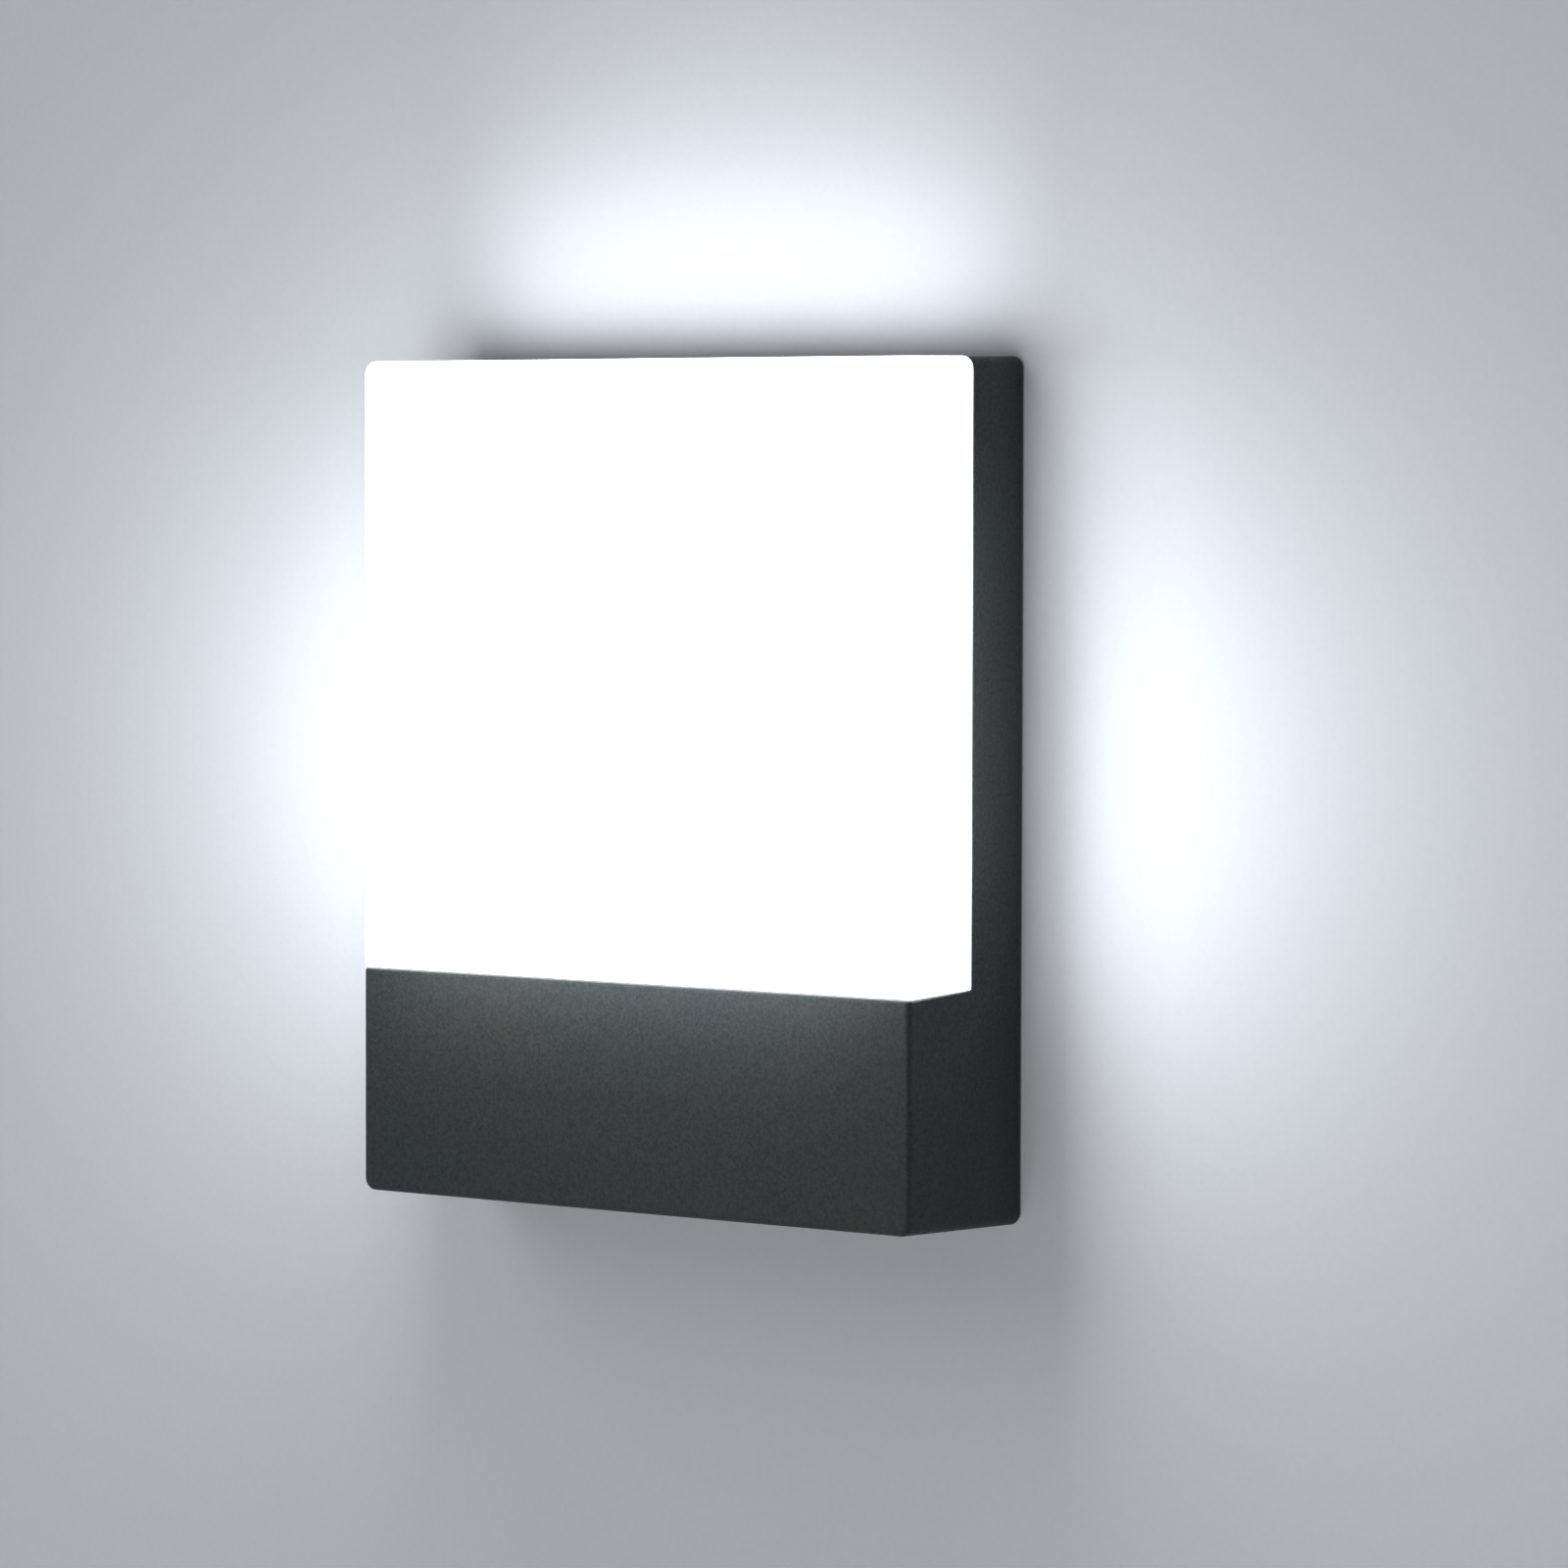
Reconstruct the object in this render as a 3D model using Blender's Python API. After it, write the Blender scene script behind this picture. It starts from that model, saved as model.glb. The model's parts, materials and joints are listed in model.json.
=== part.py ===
"""Flat outdoor LED wall light: a dark cast housing, an opal diffuser and a folded wall bracket.

Metres, +Z up. The wall plane is y = 0 and the lamp stands in front of it, towards -Y. The origin is on
the bracket's rear face, at the middle of the lamp's width and height. "Depth" is the distance in front
of the wall plane, so y = -depth. "Near" and "far" are depths too: near the wall, far from it.
"""

import math

import bmesh
import bpy
from mathutils import Vector

MM = 0.001

# Driving dimensions of the lamp
WIDTH = 200 * MM
HEIGHT = 240 * MM
DEPTH = 50 * MM
BOX_HEIGHT = 64.8 * MM          # underside to ledge, at the front face
TRAY_DEPTH = 22.2 * MM          # the seam between the tray's rim and the diffuser
DRAFT = math.radians(0.78)      # every side leans in towards the front
LEDGE_SLOPE = math.radians(2.87)
CORNER = 3.5 * MM
EDGE = 1.75 * MM                # rounding round the front face
WALL = 2.5 * MM
GAP = 0.3 * MM                  # between pieces that touch
REVEAL = 0.5 * MM               # rear rim to wall plane
ARC_STEPS = 6                   # faces in each quarter turn of an outline

# Depths of the layers, from the wall forwards
SHEET = 1.5 * MM
RECESS = 11 * MM                # rear recess, which takes the bracket
PARTITION = 4 * MM
CHAMBER = RECESS + PARTITION    # rear face of the light chamber
RIM = 3 * MM                    # width of the tray's rim
SEAL = 2.7 * MM
TONGUE = 2 * MM                 # thickness of the diffuser's tongue
BOARD = 1.6 * MM
COVER_NEAR = RECESS - 3.3 * MM

# Screws: head radius, head height, shank radius
SMALL_SCREW = (2.75 * MM, 2.0 * MM, 1.5 * MM)
CLAMP_SCREW = (3.8 * MM, 2.0 * MM, 2.0 * MM)
BORE = 1.8 * MM                 # round a small screw's shank
CLAMP_BORE = 2.3 * MM

# The bracket and the clamp in the lamp's underside
BRACKET_HALF_WIDTH = 60 * MM
FLANGE = 10.5 * MM              # how far the bracket's tongue and foot reach forwards
BEND = 1.0 * MM                 # inside radius of the folds
CLAMP_X = 45 * MM
CLAMP_DEPTH = 6 * MM
PAD_TOP = -HEIGHT / 2 + 4.5 * MM
FOOT_LOW = PAD_TOP + GAP
NUT_LOW = FOOT_LOW + SHEET + GAP
NUT_HEIGHT = 3.2 * MM
TONGUE_TOP = HEIGHT / 2 - 3 * MM
NUT_HALF = 4 * MM
COUNTERBORE = 2.4 * MM          # depth of the recess for a clamp screw's head
PAD_HALF = 9 * MM               # half width of the pads that the foot is clamped against
CABLE_X, CABLE_Z = 30 * MM, -80 * MM
CABLE_HOLE = 13 * MM
WALL_SLOT_X = 40 * MM
UPPER_SLOT_Z, LOWER_SLOT_Z = 85 * MM, -45 * MM
WALL_SLOT = (6 * MM, 2.5 * MM)  # half length and half width
SLOT_END = 0.999                # share of the half width that rounds an end; the rest stays flat
DRAIN_HALF = 4 * MM             # half width of the notch that lets water out of the recess

# The wiring space in the lower box: rear cover, driver and terminal block
OPENING = (-80 * MM, 80 * MM, -96.5 * MM, -63.5 * MM)
COVER = (-95 * MM, 95 * MM, -109 * MM, -51 * MM)
COVER_SCREWS = [(x * MM, z * MM) for z in (-105, -55) for x in (-90, 0, 90)]
COVER_BOSS = 4 * MM             # radius and height of the bosses that take the cover's screws
SEAL_WIDTH = 3 * MM
GROMMET_BORE = 4.5 * MM
GROMMET_NECK = 7.7 * MM
GROMMET_FLANGE = 10 * MM
GROMMET_LIP = 2 * MM
DRIVER = (-66 * MM, 14 * MM, -95 * MM, -65 * MM)
DRIVER_NEAR, DRIVER_FAR = 26.5 * MM, 46.5 * MM
DRIVER_WALL = 1.5 * MM
DRIVER_TAB = 9 * MM             # each end's tab, with a screw in its middle
DRIVER_SCREWS_X = [DRIVER[0] - DRIVER_TAB / 2, DRIVER[1] + DRIVER_TAB / 2]
TAB_NEAR, TAB_FAR = 40.7 * MM, 42.7 * MM
MID_Z = (DRIVER[2] + DRIVER[3]) / 2
TERMINAL = (30 * MM, 62 * MM, -92 * MM, -68 * MM)
TERMINAL_NEAR, TERMINAL_FAR = 25.7 * MM, 43.7 * MM
POLES = [36 * MM, 46 * MM, 56 * MM]
CLAMP_ROWS = [-74 * MM, -86 * MM]
BLOCK_SCREW_X = 41 * MM
WIRE_DEPTH = 35 * MM            # depth of the terminal block's wire entries
WELL = 2.3 * MM                 # radius of the wells over the terminal screws
WELL_DEPTH = 6.3 * MM
TERMINAL_SCREW = (1.95 * MM, 1.2 * MM, 1.5 * MM)
EARTH_X = 72 * MM
EARTH_BOSS = 40 * MM
TAG = 0.8 * MM                  # thickness of the ring tag on the earth wire
TAG_RADIUS = 3.6 * MM

# The light chamber
LED_BOARD = (-80 * MM, 80 * MM, -41 * MM, 108 * MM)
LED_COLUMNS = [-50 * MM, 0, 50 * MM]
LED_ROWS = [-22 * MM, 15 * MM, 52 * MM, 89 * MM]
LED_SIZE, LED_HEIGHT = 5 * MM, 1.2 * MM
BOARD_SCREWS = [(x * MM, z * MM) for z in (-34, 101) for x in (-70, 70)]
POST_X = 88 * MM
POSTS = [(x, z * MM) for z in (-43, 32, 108) for x in (-POST_X, POST_X)]
POST_RADIUS = 3.5 * MM
DUCT_X = {"led_positive_wire": -73 * MM, "led_negative_wire": -69 * MM}
DUCT_DEPTH = RECESS + PARTITION / 2
WIRE = 0.7 * MM
WIRE_BORE = 1.2 * MM
EXIT_DEPTH = 33 * MM            # where the leads pass the driver's end walls
EXITS = [-72 * MM, -69 * MM]

# Stiffening ribs in the rear recess, beside the bracket
RIBS = [side * x * MM for side in (-1, 1) for x in (66, 72, 78)]
RIB_HALF = 0.8 * MM
RIB_NEAR = RECESS - 3.5 * MM


# ---------------------------------------------------------------- the lamp's outer form

def side_at(depth):
    """Half width of the lamp."""
    return WIDTH / 2 - depth * math.tan(DRAFT)


def top_at(depth):
    """Height of the top above the middle; the underside is as far below it."""
    return HEIGHT / 2 - depth * math.tan(DRAFT)


def ledge_at(depth):
    """Height of the ledge that the diffuser stands on, which falls towards the front."""
    return -HEIGHT / 2 + BOX_HEIGHT + (DEPTH - depth) * math.tan(LEDGE_SLOPE)


def outline(left, right, bottom, top, low_radius, high_radius):
    """Points (x, z) round an upright rectangle with rounded corners."""
    corners = (
        (right - high_radius, top - high_radius, high_radius, 0),
        (left + high_radius, top - high_radius, high_radius, 90),
        (left + low_radius, bottom + low_radius, low_radius, 180),
        (right - low_radius, bottom + low_radius, low_radius, 270),
    )
    points = []
    for x, z, radius, start in corners:
        for step in range(ARC_STEPS + 1):
            angle = math.radians(start + 90 * step / ARC_STEPS)
            points.append((x + radius * math.cos(angle), z + radius * math.sin(angle)))
    return points


def ring(points, depth):
    """The outline's points, stood up at a depth."""
    return [(x, -depth, z) for x, z in points]


def lamp_ring(depth, inset=0.0):
    """The whole lamp's outline at a depth, taken in by inset."""
    side = side_at(depth) - inset
    top = top_at(depth) - inset
    radius = max(CORNER - inset, 0.8 * MM)
    return ring(outline(-side, side, -top, top, radius, radius), depth)


def light_ring(depth, inset=0.0):
    """The diffuser's outline at a depth, taken in by inset."""
    side = side_at(depth) - inset
    bottom = ledge_at(depth) + GAP + inset
    high_radius = max(CORNER - inset, 0.6 * MM)
    return ring(outline(-side, side, bottom, top_at(depth) - inset, 0.6 * MM, high_radius), depth)


def rounded_front(ring_at):
    """Rings that round the front edge off, from the side to the front face."""
    rings = []
    for step in range(ARC_STEPS + 1):
        angle = math.radians(90 * step / ARC_STEPS)
        depth = DEPTH - EDGE + EDGE * math.sin(angle)
        rings.append(ring_at(depth, EDGE - EDGE * math.cos(angle)))
    return rings


# ---------------------------------------------------------------- solids

def skin(bm, rings, hollow=False):
    """Faces through rings of points: capped at both ends or, for a hollow body, joined end to start."""
    rows = [[bm.verts.new(point) for point in points] for points in rings]
    pairs = list(zip(rows, rows[1:]))
    if hollow:
        pairs.append((rows[-1], rows[0]))
    else:
        bm.faces.new(rows[0])
        bm.faces.new(rows[-1])
    for row, after in pairs:
        for i in range(len(row)):
            j = (i + 1) % len(row)
            bm.faces.new((row[i], row[j], after[j], after[i]))


def block(bm, box, near, far):
    """A box from (left, right, bottom, top) between two depths."""
    left, right, bottom, top = box
    corners = [(left, bottom), (right, bottom), (right, top), (left, top)]
    skin(bm, [ring(corners, near), ring(corners, far)])


def rounded_block(bm, box, near, far, radius):
    """As block, with rounded upright corners."""
    points = outline(*box, radius, radius)
    skin(bm, [ring(points, near), ring(points, far)])


def turned(bm, base, direction, profile, sides=12, hollow=False):
    """A body turned about an axis through base. The profile's rows are (distance along, radius)."""
    axis = Vector(direction)
    across = axis.orthogonal().normalized()
    beside = axis.cross(across)
    rings = []
    for along, radius in profile:
        centre = Vector(base) + along * axis
        angles = [math.tau * (i + 0.5) / sides for i in range(sides)]
        rings.append([centre + radius * (math.cos(a) * across + math.sin(a) * beside) for a in angles])
    skin(bm, rings, hollow)


def hexagon(y, radius):
    """Twelve points round a hexagon: its corners and the middles of its sides."""
    points = []
    for i in range(12):
        reach = radius if i % 2 else radius * math.cos(math.radians(30))
        angle = math.tau * (i + 0.5) / 12
        points.append((reach * math.cos(angle), y, reach * math.sin(angle)))
    return points


def rod(bm, x, z, radius, near, far, sides=12):
    """A round bar that runs forwards from near to far."""
    turned(bm, (x, -near, z), (0, -1, 0), [(0, radius), (far - near, radius)], sides)


# ---------------------------------------------------------------- objects and materials

def clear_scene():
    for old in list(bpy.data.objects):
        bpy.data.objects.remove(old, do_unlink=True)


def material(name, colour, roughness, metallic=0.0):
    made = bpy.data.materials.new(name)
    made.use_nodes = True
    shader = made.node_tree.nodes["Principled BSDF"]
    shader.inputs["Base Color"].default_value = (*colour, 1)
    shader.inputs["Roughness"].default_value = roughness
    shader.inputs["Metallic"].default_value = metallic
    return made


def mesh_from(name, bm, finish=None):
    bmesh.ops.recalc_face_normals(bm, faces=bm.faces)
    mesh = bpy.data.meshes.new(name)
    bm.to_mesh(mesh)
    bm.free()
    mesh.shade_smooth()
    mesh.set_sharp_from_angle(angle=math.radians(32))
    if finish:
        mesh.materials.append(finish)
    return mesh


def place(name, data, parent=None, location=(0, 0, 0), rotation=(0, 0, 0)):
    part = bpy.data.objects.new(name, data)
    part.parent = parent
    part.location = location
    part.rotation_euler = rotation
    bpy.context.scene.collection.objects.link(part)
    return part


def shape_with(part, operation, name, bm):
    """Cuts the shape in bm out of the part, or joins it on. The shape stays as a guide in wire."""
    guide = place(name, mesh_from(name, bm))
    guide.hide_render = True
    guide.display_type = "WIRE"
    boolean = part.modifiers.new(name, "BOOLEAN")
    boolean.operation = operation
    boolean.solver = "EXACT"
    boolean.object = guide


def screw_mesh(name, sizes, length, finish):
    """A button-headed screw that points towards -Y, with the origin under its head and a hexagon socket."""
    head_radius, head_height, shank = sizes
    socket_floor, socket = 0.35 * head_height, 0.42 * head_radius
    rings = [hexagon(socket_floor, socket), hexagon(head_height, socket)]
    profile = [
        (head_height, 0.62 * head_radius),
        (0.72 * head_height, 0.9 * head_radius),
        (0.3 * head_height, head_radius),
        (0, head_radius),
        (0, shank),
        (-length, shank),
    ]
    angles = [math.tau * (i + 0.5) / 12 for i in range(12)]
    for y, radius in profile:
        rings.append([(radius * math.cos(a), y, radius * math.sin(a)) for a in angles])
    bm = bmesh.new()
    skin(bm, rings)
    return mesh_from(name, bm, finish)


def smooth_route(points, steps=4):
    """Points along a smooth curve through the route's own points."""
    knots = [Vector(p) for p in points]
    knots = [2 * knots[0] - knots[1], *knots, 2 * knots[-1] - knots[-2]]
    route = []
    for a, b, c, d in zip(knots, knots[1:], knots[2:], knots[3:]):
        for step in range(steps):
            t = step / steps
            route.append(0.5 * (2 * b + (c - a) * t + (2 * a - 5 * b + 4 * c - d) * t ** 2
                                + (3 * b - a - 3 * c + d) * t ** 3))
    route.append(knots[-2])
    return route


def wire(name, points, finish, parent):
    """An insulated lead along a route of (x, depth, z) points in millimetres."""
    curve = bpy.data.curves.new(name, "CURVE")
    curve.dimensions = "3D"
    curve.bevel_depth = WIRE
    curve.bevel_resolution = 2
    curve.use_fill_caps = True
    route = smooth_route([(x * MM, -depth * MM, z * MM) for x, depth, z in points])
    spline = curve.splines.new("POLY")
    spline.points.add(len(route) - 1)
    for knot, point in zip(spline.points, route):
        knot.co = (*point, 1)
    curve.materials.append(finish)
    return place(name, curve, parent)


# ---------------------------------------------------------------- the wall bracket

def fold(depth, z, radius, start):
    """Points (depth, z) along a quarter circle, for a fold in the sheet."""
    angles = [math.radians(start + 90 * step / ARC_STEPS) for step in range(ARC_STEPS + 1)]
    return [(depth + radius * math.cos(a), z + radius * math.sin(a)) for a in angles]


def build_bracket(finish):
    """Folded steel: a plate with a tongue at the top that carries the lamp, and a clamped foot."""
    centre = BEND + SHEET
    high = TONGUE_TOP - centre
    low = FOOT_LOW + centre
    inner_low = fold(centre, low, BEND, 180)
    inner_high = fold(centre, high, BEND, 90)
    profile = [(FLANGE, FOOT_LOW), *reversed(fold(centre, low, centre, 180))]
    profile += [*reversed(fold(centre, high, centre, 90)), (FLANGE, TONGUE_TOP)]
    profile += [(FLANGE, TONGUE_TOP - SHEET), *inner_high, *inner_low, (FLANGE, FOOT_LOW + SHEET)]
    bm = bmesh.new()
    skin(bm, [[(x, -depth, z) for depth, z in profile] for x in (-BRACKET_HALF_WIDTH, BRACKET_HALF_WIDTH)])
    bracket = place("wall_bracket", mesh_from("wall_bracket", bm, finish))

    holes = bmesh.new()
    rod(holes, CABLE_X, CABLE_Z, CABLE_HOLE, -SHEET, 2 * SHEET, 24)
    reach, half = WALL_SLOT
    for x in (-WALL_SLOT_X, WALL_SLOT_X):
        level = (x - reach, x + reach, UPPER_SLOT_Z - half, UPPER_SLOT_Z + half)
        upright = (x - half, x + half, LOWER_SLOT_Z - reach, LOWER_SLOT_Z + reach)
        for box in (level, upright):
            rounded_block(holes, box, -SHEET, 2 * SHEET, SLOT_END * half)
    shape_with(bracket, "DIFFERENCE", "bracket_holes", holes)

    ends, mouths = bmesh.new(), bmesh.new()
    through = [(0, CLAMP_BORE), (3 * SHEET, CLAMP_BORE)]
    for x in (-CLAMP_X, CLAMP_X):
        slot = (x - CLAMP_BORE, x + CLAMP_BORE, FOOT_LOW - SHEET, FOOT_LOW + 2 * SHEET)
        block(mouths, slot, CLAMP_DEPTH, FLANGE + SHEET)
        turned(ends, (x, -CLAMP_DEPTH, FOOT_LOW - SHEET), (0, 0, 1), through, 16)
    shape_with(bracket, "DIFFERENCE", "foot_slot_ends", ends)
    shape_with(bracket, "DIFFERENCE", "foot_slot_mouths", mouths)
    return bracket


def build_clamps(screw_finish, nut_finish, lamp):
    """The two screws in the underside and the square nuts that they draw down on the bracket's foot."""
    under_head = -HEIGHT / 2 + COUNTERBORE - GAP
    end = NUT_LOW + NUT_HEIGHT + 2 * GAP
    mesh = screw_mesh("clamp_screw", CLAMP_SCREW, end - under_head, screw_finish)
    for side, x in (("left", -CLAMP_X), ("right", CLAMP_X)):
        place(f"clamp_screw_{side}", mesh, lamp, (x, -CLAMP_DEPTH, under_head), (-math.pi / 2, 0, 0))
        bm = bmesh.new()
        signs = [(-1, -1), (1, -1), (1, 1), (-1, 1)]
        corners = [(x + u * NUT_HALF, v * NUT_HALF - CLAMP_DEPTH) for u, v in signs]
        rings = [[(u, v, z) for u, v in corners] for z in (NUT_LOW, NUT_LOW + NUT_HEIGHT)]
        skin(bm, rings)
        nut = place(f"clamp_nut_{side}", mesh_from("clamp_nut", bm, nut_finish), lamp)
        bore = bmesh.new()
        base = (x, -CLAMP_DEPTH, NUT_LOW - NUT_HEIGHT)
        turned(bore, base, (0, 0, 1), [(0, CLAMP_BORE), (3 * NUT_HEIGHT, CLAMP_BORE)])
        shape_with(nut, "DIFFERENCE", f"nut_bore_{side}", bore)


# ---------------------------------------------------------------- the housing

def build_housing(finish, lamp):
    """One casting: the lower box, the ledge and the slim tray, with the partition behind the light."""
    bm = bmesh.new()
    skin(bm, [lamp_ring(REVEAL), *rounded_front(lamp_ring)])
    housing = place("housing", mesh_from("housing", bm, finish), lamp)
    cut_housing_spaces(housing)
    add_housing_bosses(housing)
    cut_housing_bores(housing)
    return housing


def cut_housing_spaces(housing):
    light = bmesh.new()
    over = WIDTH
    rings = []
    for depth in (TRAY_DEPTH, DEPTH + WALL):
        ledge = ledge_at(depth)
        rings.append(ring([(-over, ledge), (over, ledge), (over, over), (-over, over)], depth))
    skin(light, rings)
    shape_with(housing, "DIFFERENCE", "light_space", light)

    spaces = bmesh.new()
    skin(spaces, [lamp_ring(-WALL, WALL), lamp_ring(RECESS, WALL)])
    floor = ledge_at(TRAY_DEPTH) + RIM
    tray = []
    for depth in (CHAMBER, TRAY_DEPTH + WALL):
        side = side_at(depth) - RIM
        tray.append(ring(outline(-side, side, floor, top_at(depth) - RIM, MM, MM), depth))
    skin(spaces, tray)
    shape_with(housing, "DIFFERENCE", "recess_and_tray", spaces)

    box = bmesh.new()
    rings = []
    for depth in (CHAMBER, DEPTH - WALL):
        side = side_at(depth) - WALL
        rings.append(ring(outline(-side, side, -top_at(depth) + WALL, ledge_at(depth) - WALL, MM, MM), depth))
    skin(box, rings)
    shape_with(housing, "DIFFERENCE", "wiring_space", box)

    opening = bmesh.new()
    rounded_block(opening, OPENING, RECESS - WALL, CHAMBER + WALL, 2 * MM)
    shape_with(housing, "DIFFERENCE", "rear_opening", opening)


def add_housing_bosses(housing):
    """Ribs and clamp pads in the rear recess, and the bosses that the screws bite into."""
    bosses = bmesh.new()
    for x in RIBS:
        block(bosses, (x - RIB_HALF, x + RIB_HALF, LED_BOARD[2], LED_BOARD[3]), RIB_NEAR, RECESS + MM)
    for x in (-CLAMP_X, CLAMP_X):
        pad = (x - PAD_HALF, x + PAD_HALF, -HEIGHT / 2 + WALL - GAP, PAD_TOP)
        block(bosses, pad, 2 * REVEAL, RECESS + MM)
    for x, z in COVER_SCREWS:
        rod(bosses, x, z, COVER_BOSS, CHAMBER - MM, CHAMBER + COVER_BOSS, 16)
    root = DEPTH - WALL + GAP
    for x in DRIVER_SCREWS_X:
        rod(bosses, x, MID_Z, POST_RADIUS, TAB_FAR + GAP, root, 16)
    rod(bosses, BLOCK_SCREW_X, MID_Z, POST_RADIUS, TERMINAL_FAR + GAP, root, 16)
    rod(bosses, EARTH_X, MID_Z, POST_RADIUS, EARTH_BOSS, root, 16)
    shape_with(housing, "UNION", "housing_bosses", bosses)


def cut_housing_bores(housing):
    bores = bmesh.new()
    for x, z in POSTS:
        rod(bores, x, z, BORE, RECESS - MM, CHAMBER + MM)
    for x, z in BOARD_SCREWS:
        rod(bores, x, z, BORE, RECESS + 0.8 * MM, CHAMBER + MM)
    for x, z in COVER_SCREWS:
        rod(bores, x, z, BORE, RECESS - MM, CHAMBER + COVER_BOSS - GAP)
    for x in DRIVER_SCREWS_X:
        rod(bores, x, MID_Z, BORE, TAB_FAR, DEPTH - 4 * MM)
    rod(bores, BLOCK_SCREW_X, MID_Z, BORE, TERMINAL_FAR, DEPTH - 3.2 * MM)
    rod(bores, EARTH_X, MID_Z, BORE, EARTH_BOSS - MM, DEPTH - 4 * MM)
    head = CLAMP_SCREW[0] + 2 * GAP
    through = NUT_LOW + HEIGHT / 2
    profile = [(-MM, head), (COUNTERBORE, head), (COUNTERBORE, CLAMP_BORE), (through, CLAMP_BORE)]
    for x in (-CLAMP_X, CLAMP_X):
        turned(bores, (x, -CLAMP_DEPTH, -HEIGHT / 2), (0, 0, 1), profile, 16)
    for x in DUCT_X.values():
        base = (x, -DUCT_DEPTH, OPENING[3] - MM)
        length = LED_BOARD[2] - 3 * MM - base[2]
        turned(bores, base, (0, 0, 1), [(0, WIRE_BORE), (length, WIRE_BORE)])
    drain = (-DRAIN_HALF, DRAIN_HALF, -HEIGHT / 2 - MM, -HEIGHT / 2 + WALL + REVEAL)
    block(bores, drain, -MM, 3.5 * MM)
    shape_with(housing, "DIFFERENCE", "housing_bores", bores)

    pocket = bmesh.new()
    left, right = sorted(DUCT_X.values())
    box = (left - 1.8 * MM, right + 1.8 * MM, LED_BOARD[2] - 6.4 * MM, LED_BOARD[2] - 1.4 * MM)
    block(pocket, box, DUCT_DEPTH - WIRE_BORE, CHAMBER + MM)
    shape_with(housing, "DIFFERENCE", "wire_pocket", pocket)


# ---------------------------------------------------------------- the light

def build_diffuser(finish, lamp):
    """A deep opal cap with a tongue that enters the tray, and six screw posts inside."""
    near = TRAY_DEPTH + GAP
    inner = RIM + GAP
    tongue_near = CHAMBER + GAP + SEAL + GAP
    rings = [
        light_ring(DEPTH - WALL, WALL),
        light_ring(near + TONGUE, WALL),
        light_ring(near + TONGUE, inner + TONGUE),
        light_ring(tongue_near, inner + TONGUE),
        light_ring(tongue_near, inner),
        light_ring(near, inner),
        light_ring(near, 0.0),
    ]
    bm = bmesh.new()
    skin(bm, rings + rounded_front(light_ring))
    diffuser = place("diffuser", mesh_from("diffuser", bm, finish), lamp)

    posts, ribs, bores = bmesh.new(), bmesh.new(), bmesh.new()
    for x, z in POSTS:
        rod(posts, x, z, POST_RADIUS, CHAMBER + GAP, DEPTH - MM, 16)
        outward = sorted((x, math.copysign(side_at(DEPTH) - MM, x)))
        block(ribs, (*outward, z - 0.8 * MM, z + 0.8 * MM), near + MM, DEPTH - 1.5 * MM)
        rod(bores, x, z, BORE, RECESS, CHAMBER + 10 * MM)
    shape_with(diffuser, "UNION", "diffuser_posts", posts)
    shape_with(diffuser, "UNION", "diffuser_ribs", ribs)
    shape_with(diffuser, "DIFFERENCE", "diffuser_bores", bores)
    return diffuser


def build_diffuser_seal(finish, lamp):
    near, far = CHAMBER + GAP, CHAMBER + GAP + SEAL
    outer = RIM + GAP
    inner = outer + TONGUE
    bm = bmesh.new()
    rings = [light_ring(near, outer), light_ring(far, outer), light_ring(far, inner), light_ring(near, inner)]
    skin(bm, rings, hollow=True)
    return place("diffuser_seal", mesh_from("diffuser_seal", bm, finish), lamp)


def build_led_board(board_finish, led_finish, screw_finish, lamp):
    near = CHAMBER + GAP
    bm = bmesh.new()
    rounded_block(bm, LED_BOARD, near, near + BOARD, 2 * MM)
    board = place("led_board", mesh_from("led_board", bm, board_finish), lamp)
    bores = bmesh.new()
    for x, z in BOARD_SCREWS:
        rod(bores, x, z, BORE, near - MM, near + BOARD + MM)
    shape_with(board, "DIFFERENCE", "board_bores", bores)

    chip = bmesh.new()
    half = LED_SIZE / 2
    block(chip, (-half, half, -half, half), 0, LED_HEIGHT)
    chip_mesh = mesh_from("led", chip, led_finish)
    front = near + BOARD + GAP
    places = [(x, z) for z in LED_ROWS for x in LED_COLUMNS]
    for number, (x, z) in enumerate(places, 1):
        place(f"led_{number:02d}", chip_mesh, lamp, (x, -front, z))

    screw = screw_mesh("board_screw", SMALL_SCREW, 4.8 * MM, screw_finish)
    for number, (x, z) in enumerate(BOARD_SCREWS, 1):
        place(f"led_board_screw_{number}", screw, lamp, (x, -front, z), (0, 0, math.pi))


def build_diffuser_screws(finish, lamp):
    screw = screw_mesh("diffuser_screw", SMALL_SCREW, 13 * MM, finish)
    for number, (x, z) in enumerate(POSTS, 1):
        place(f"diffuser_screw_{number}", screw, lamp, (x, -(RECESS - GAP), z))


# ---------------------------------------------------------------- the rear cover and its inlet

def grommet_profile():
    """A lip, a groove that takes the cover's edge, a second lip, and a collar that grips the cable."""
    groove = GROMMET_LIP + SHEET + 2 * GAP
    inner_lip = groove + GROMMET_LIP
    collar = groove + 6 * MM
    return [
        (0, GROMMET_BORE),
        (0, GROMMET_FLANGE),
        (GROMMET_LIP, GROMMET_FLANGE),
        (GROMMET_LIP, GROMMET_NECK),
        (groove, GROMMET_NECK),
        (groove, GROMMET_FLANGE),
        (inner_lip, GROMMET_FLANGE),
        (inner_lip, GROMMET_BORE + 2 * MM),
        (collar, GROMMET_BORE + 1.1 * MM),
        (collar, GROMMET_BORE),
    ]


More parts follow.
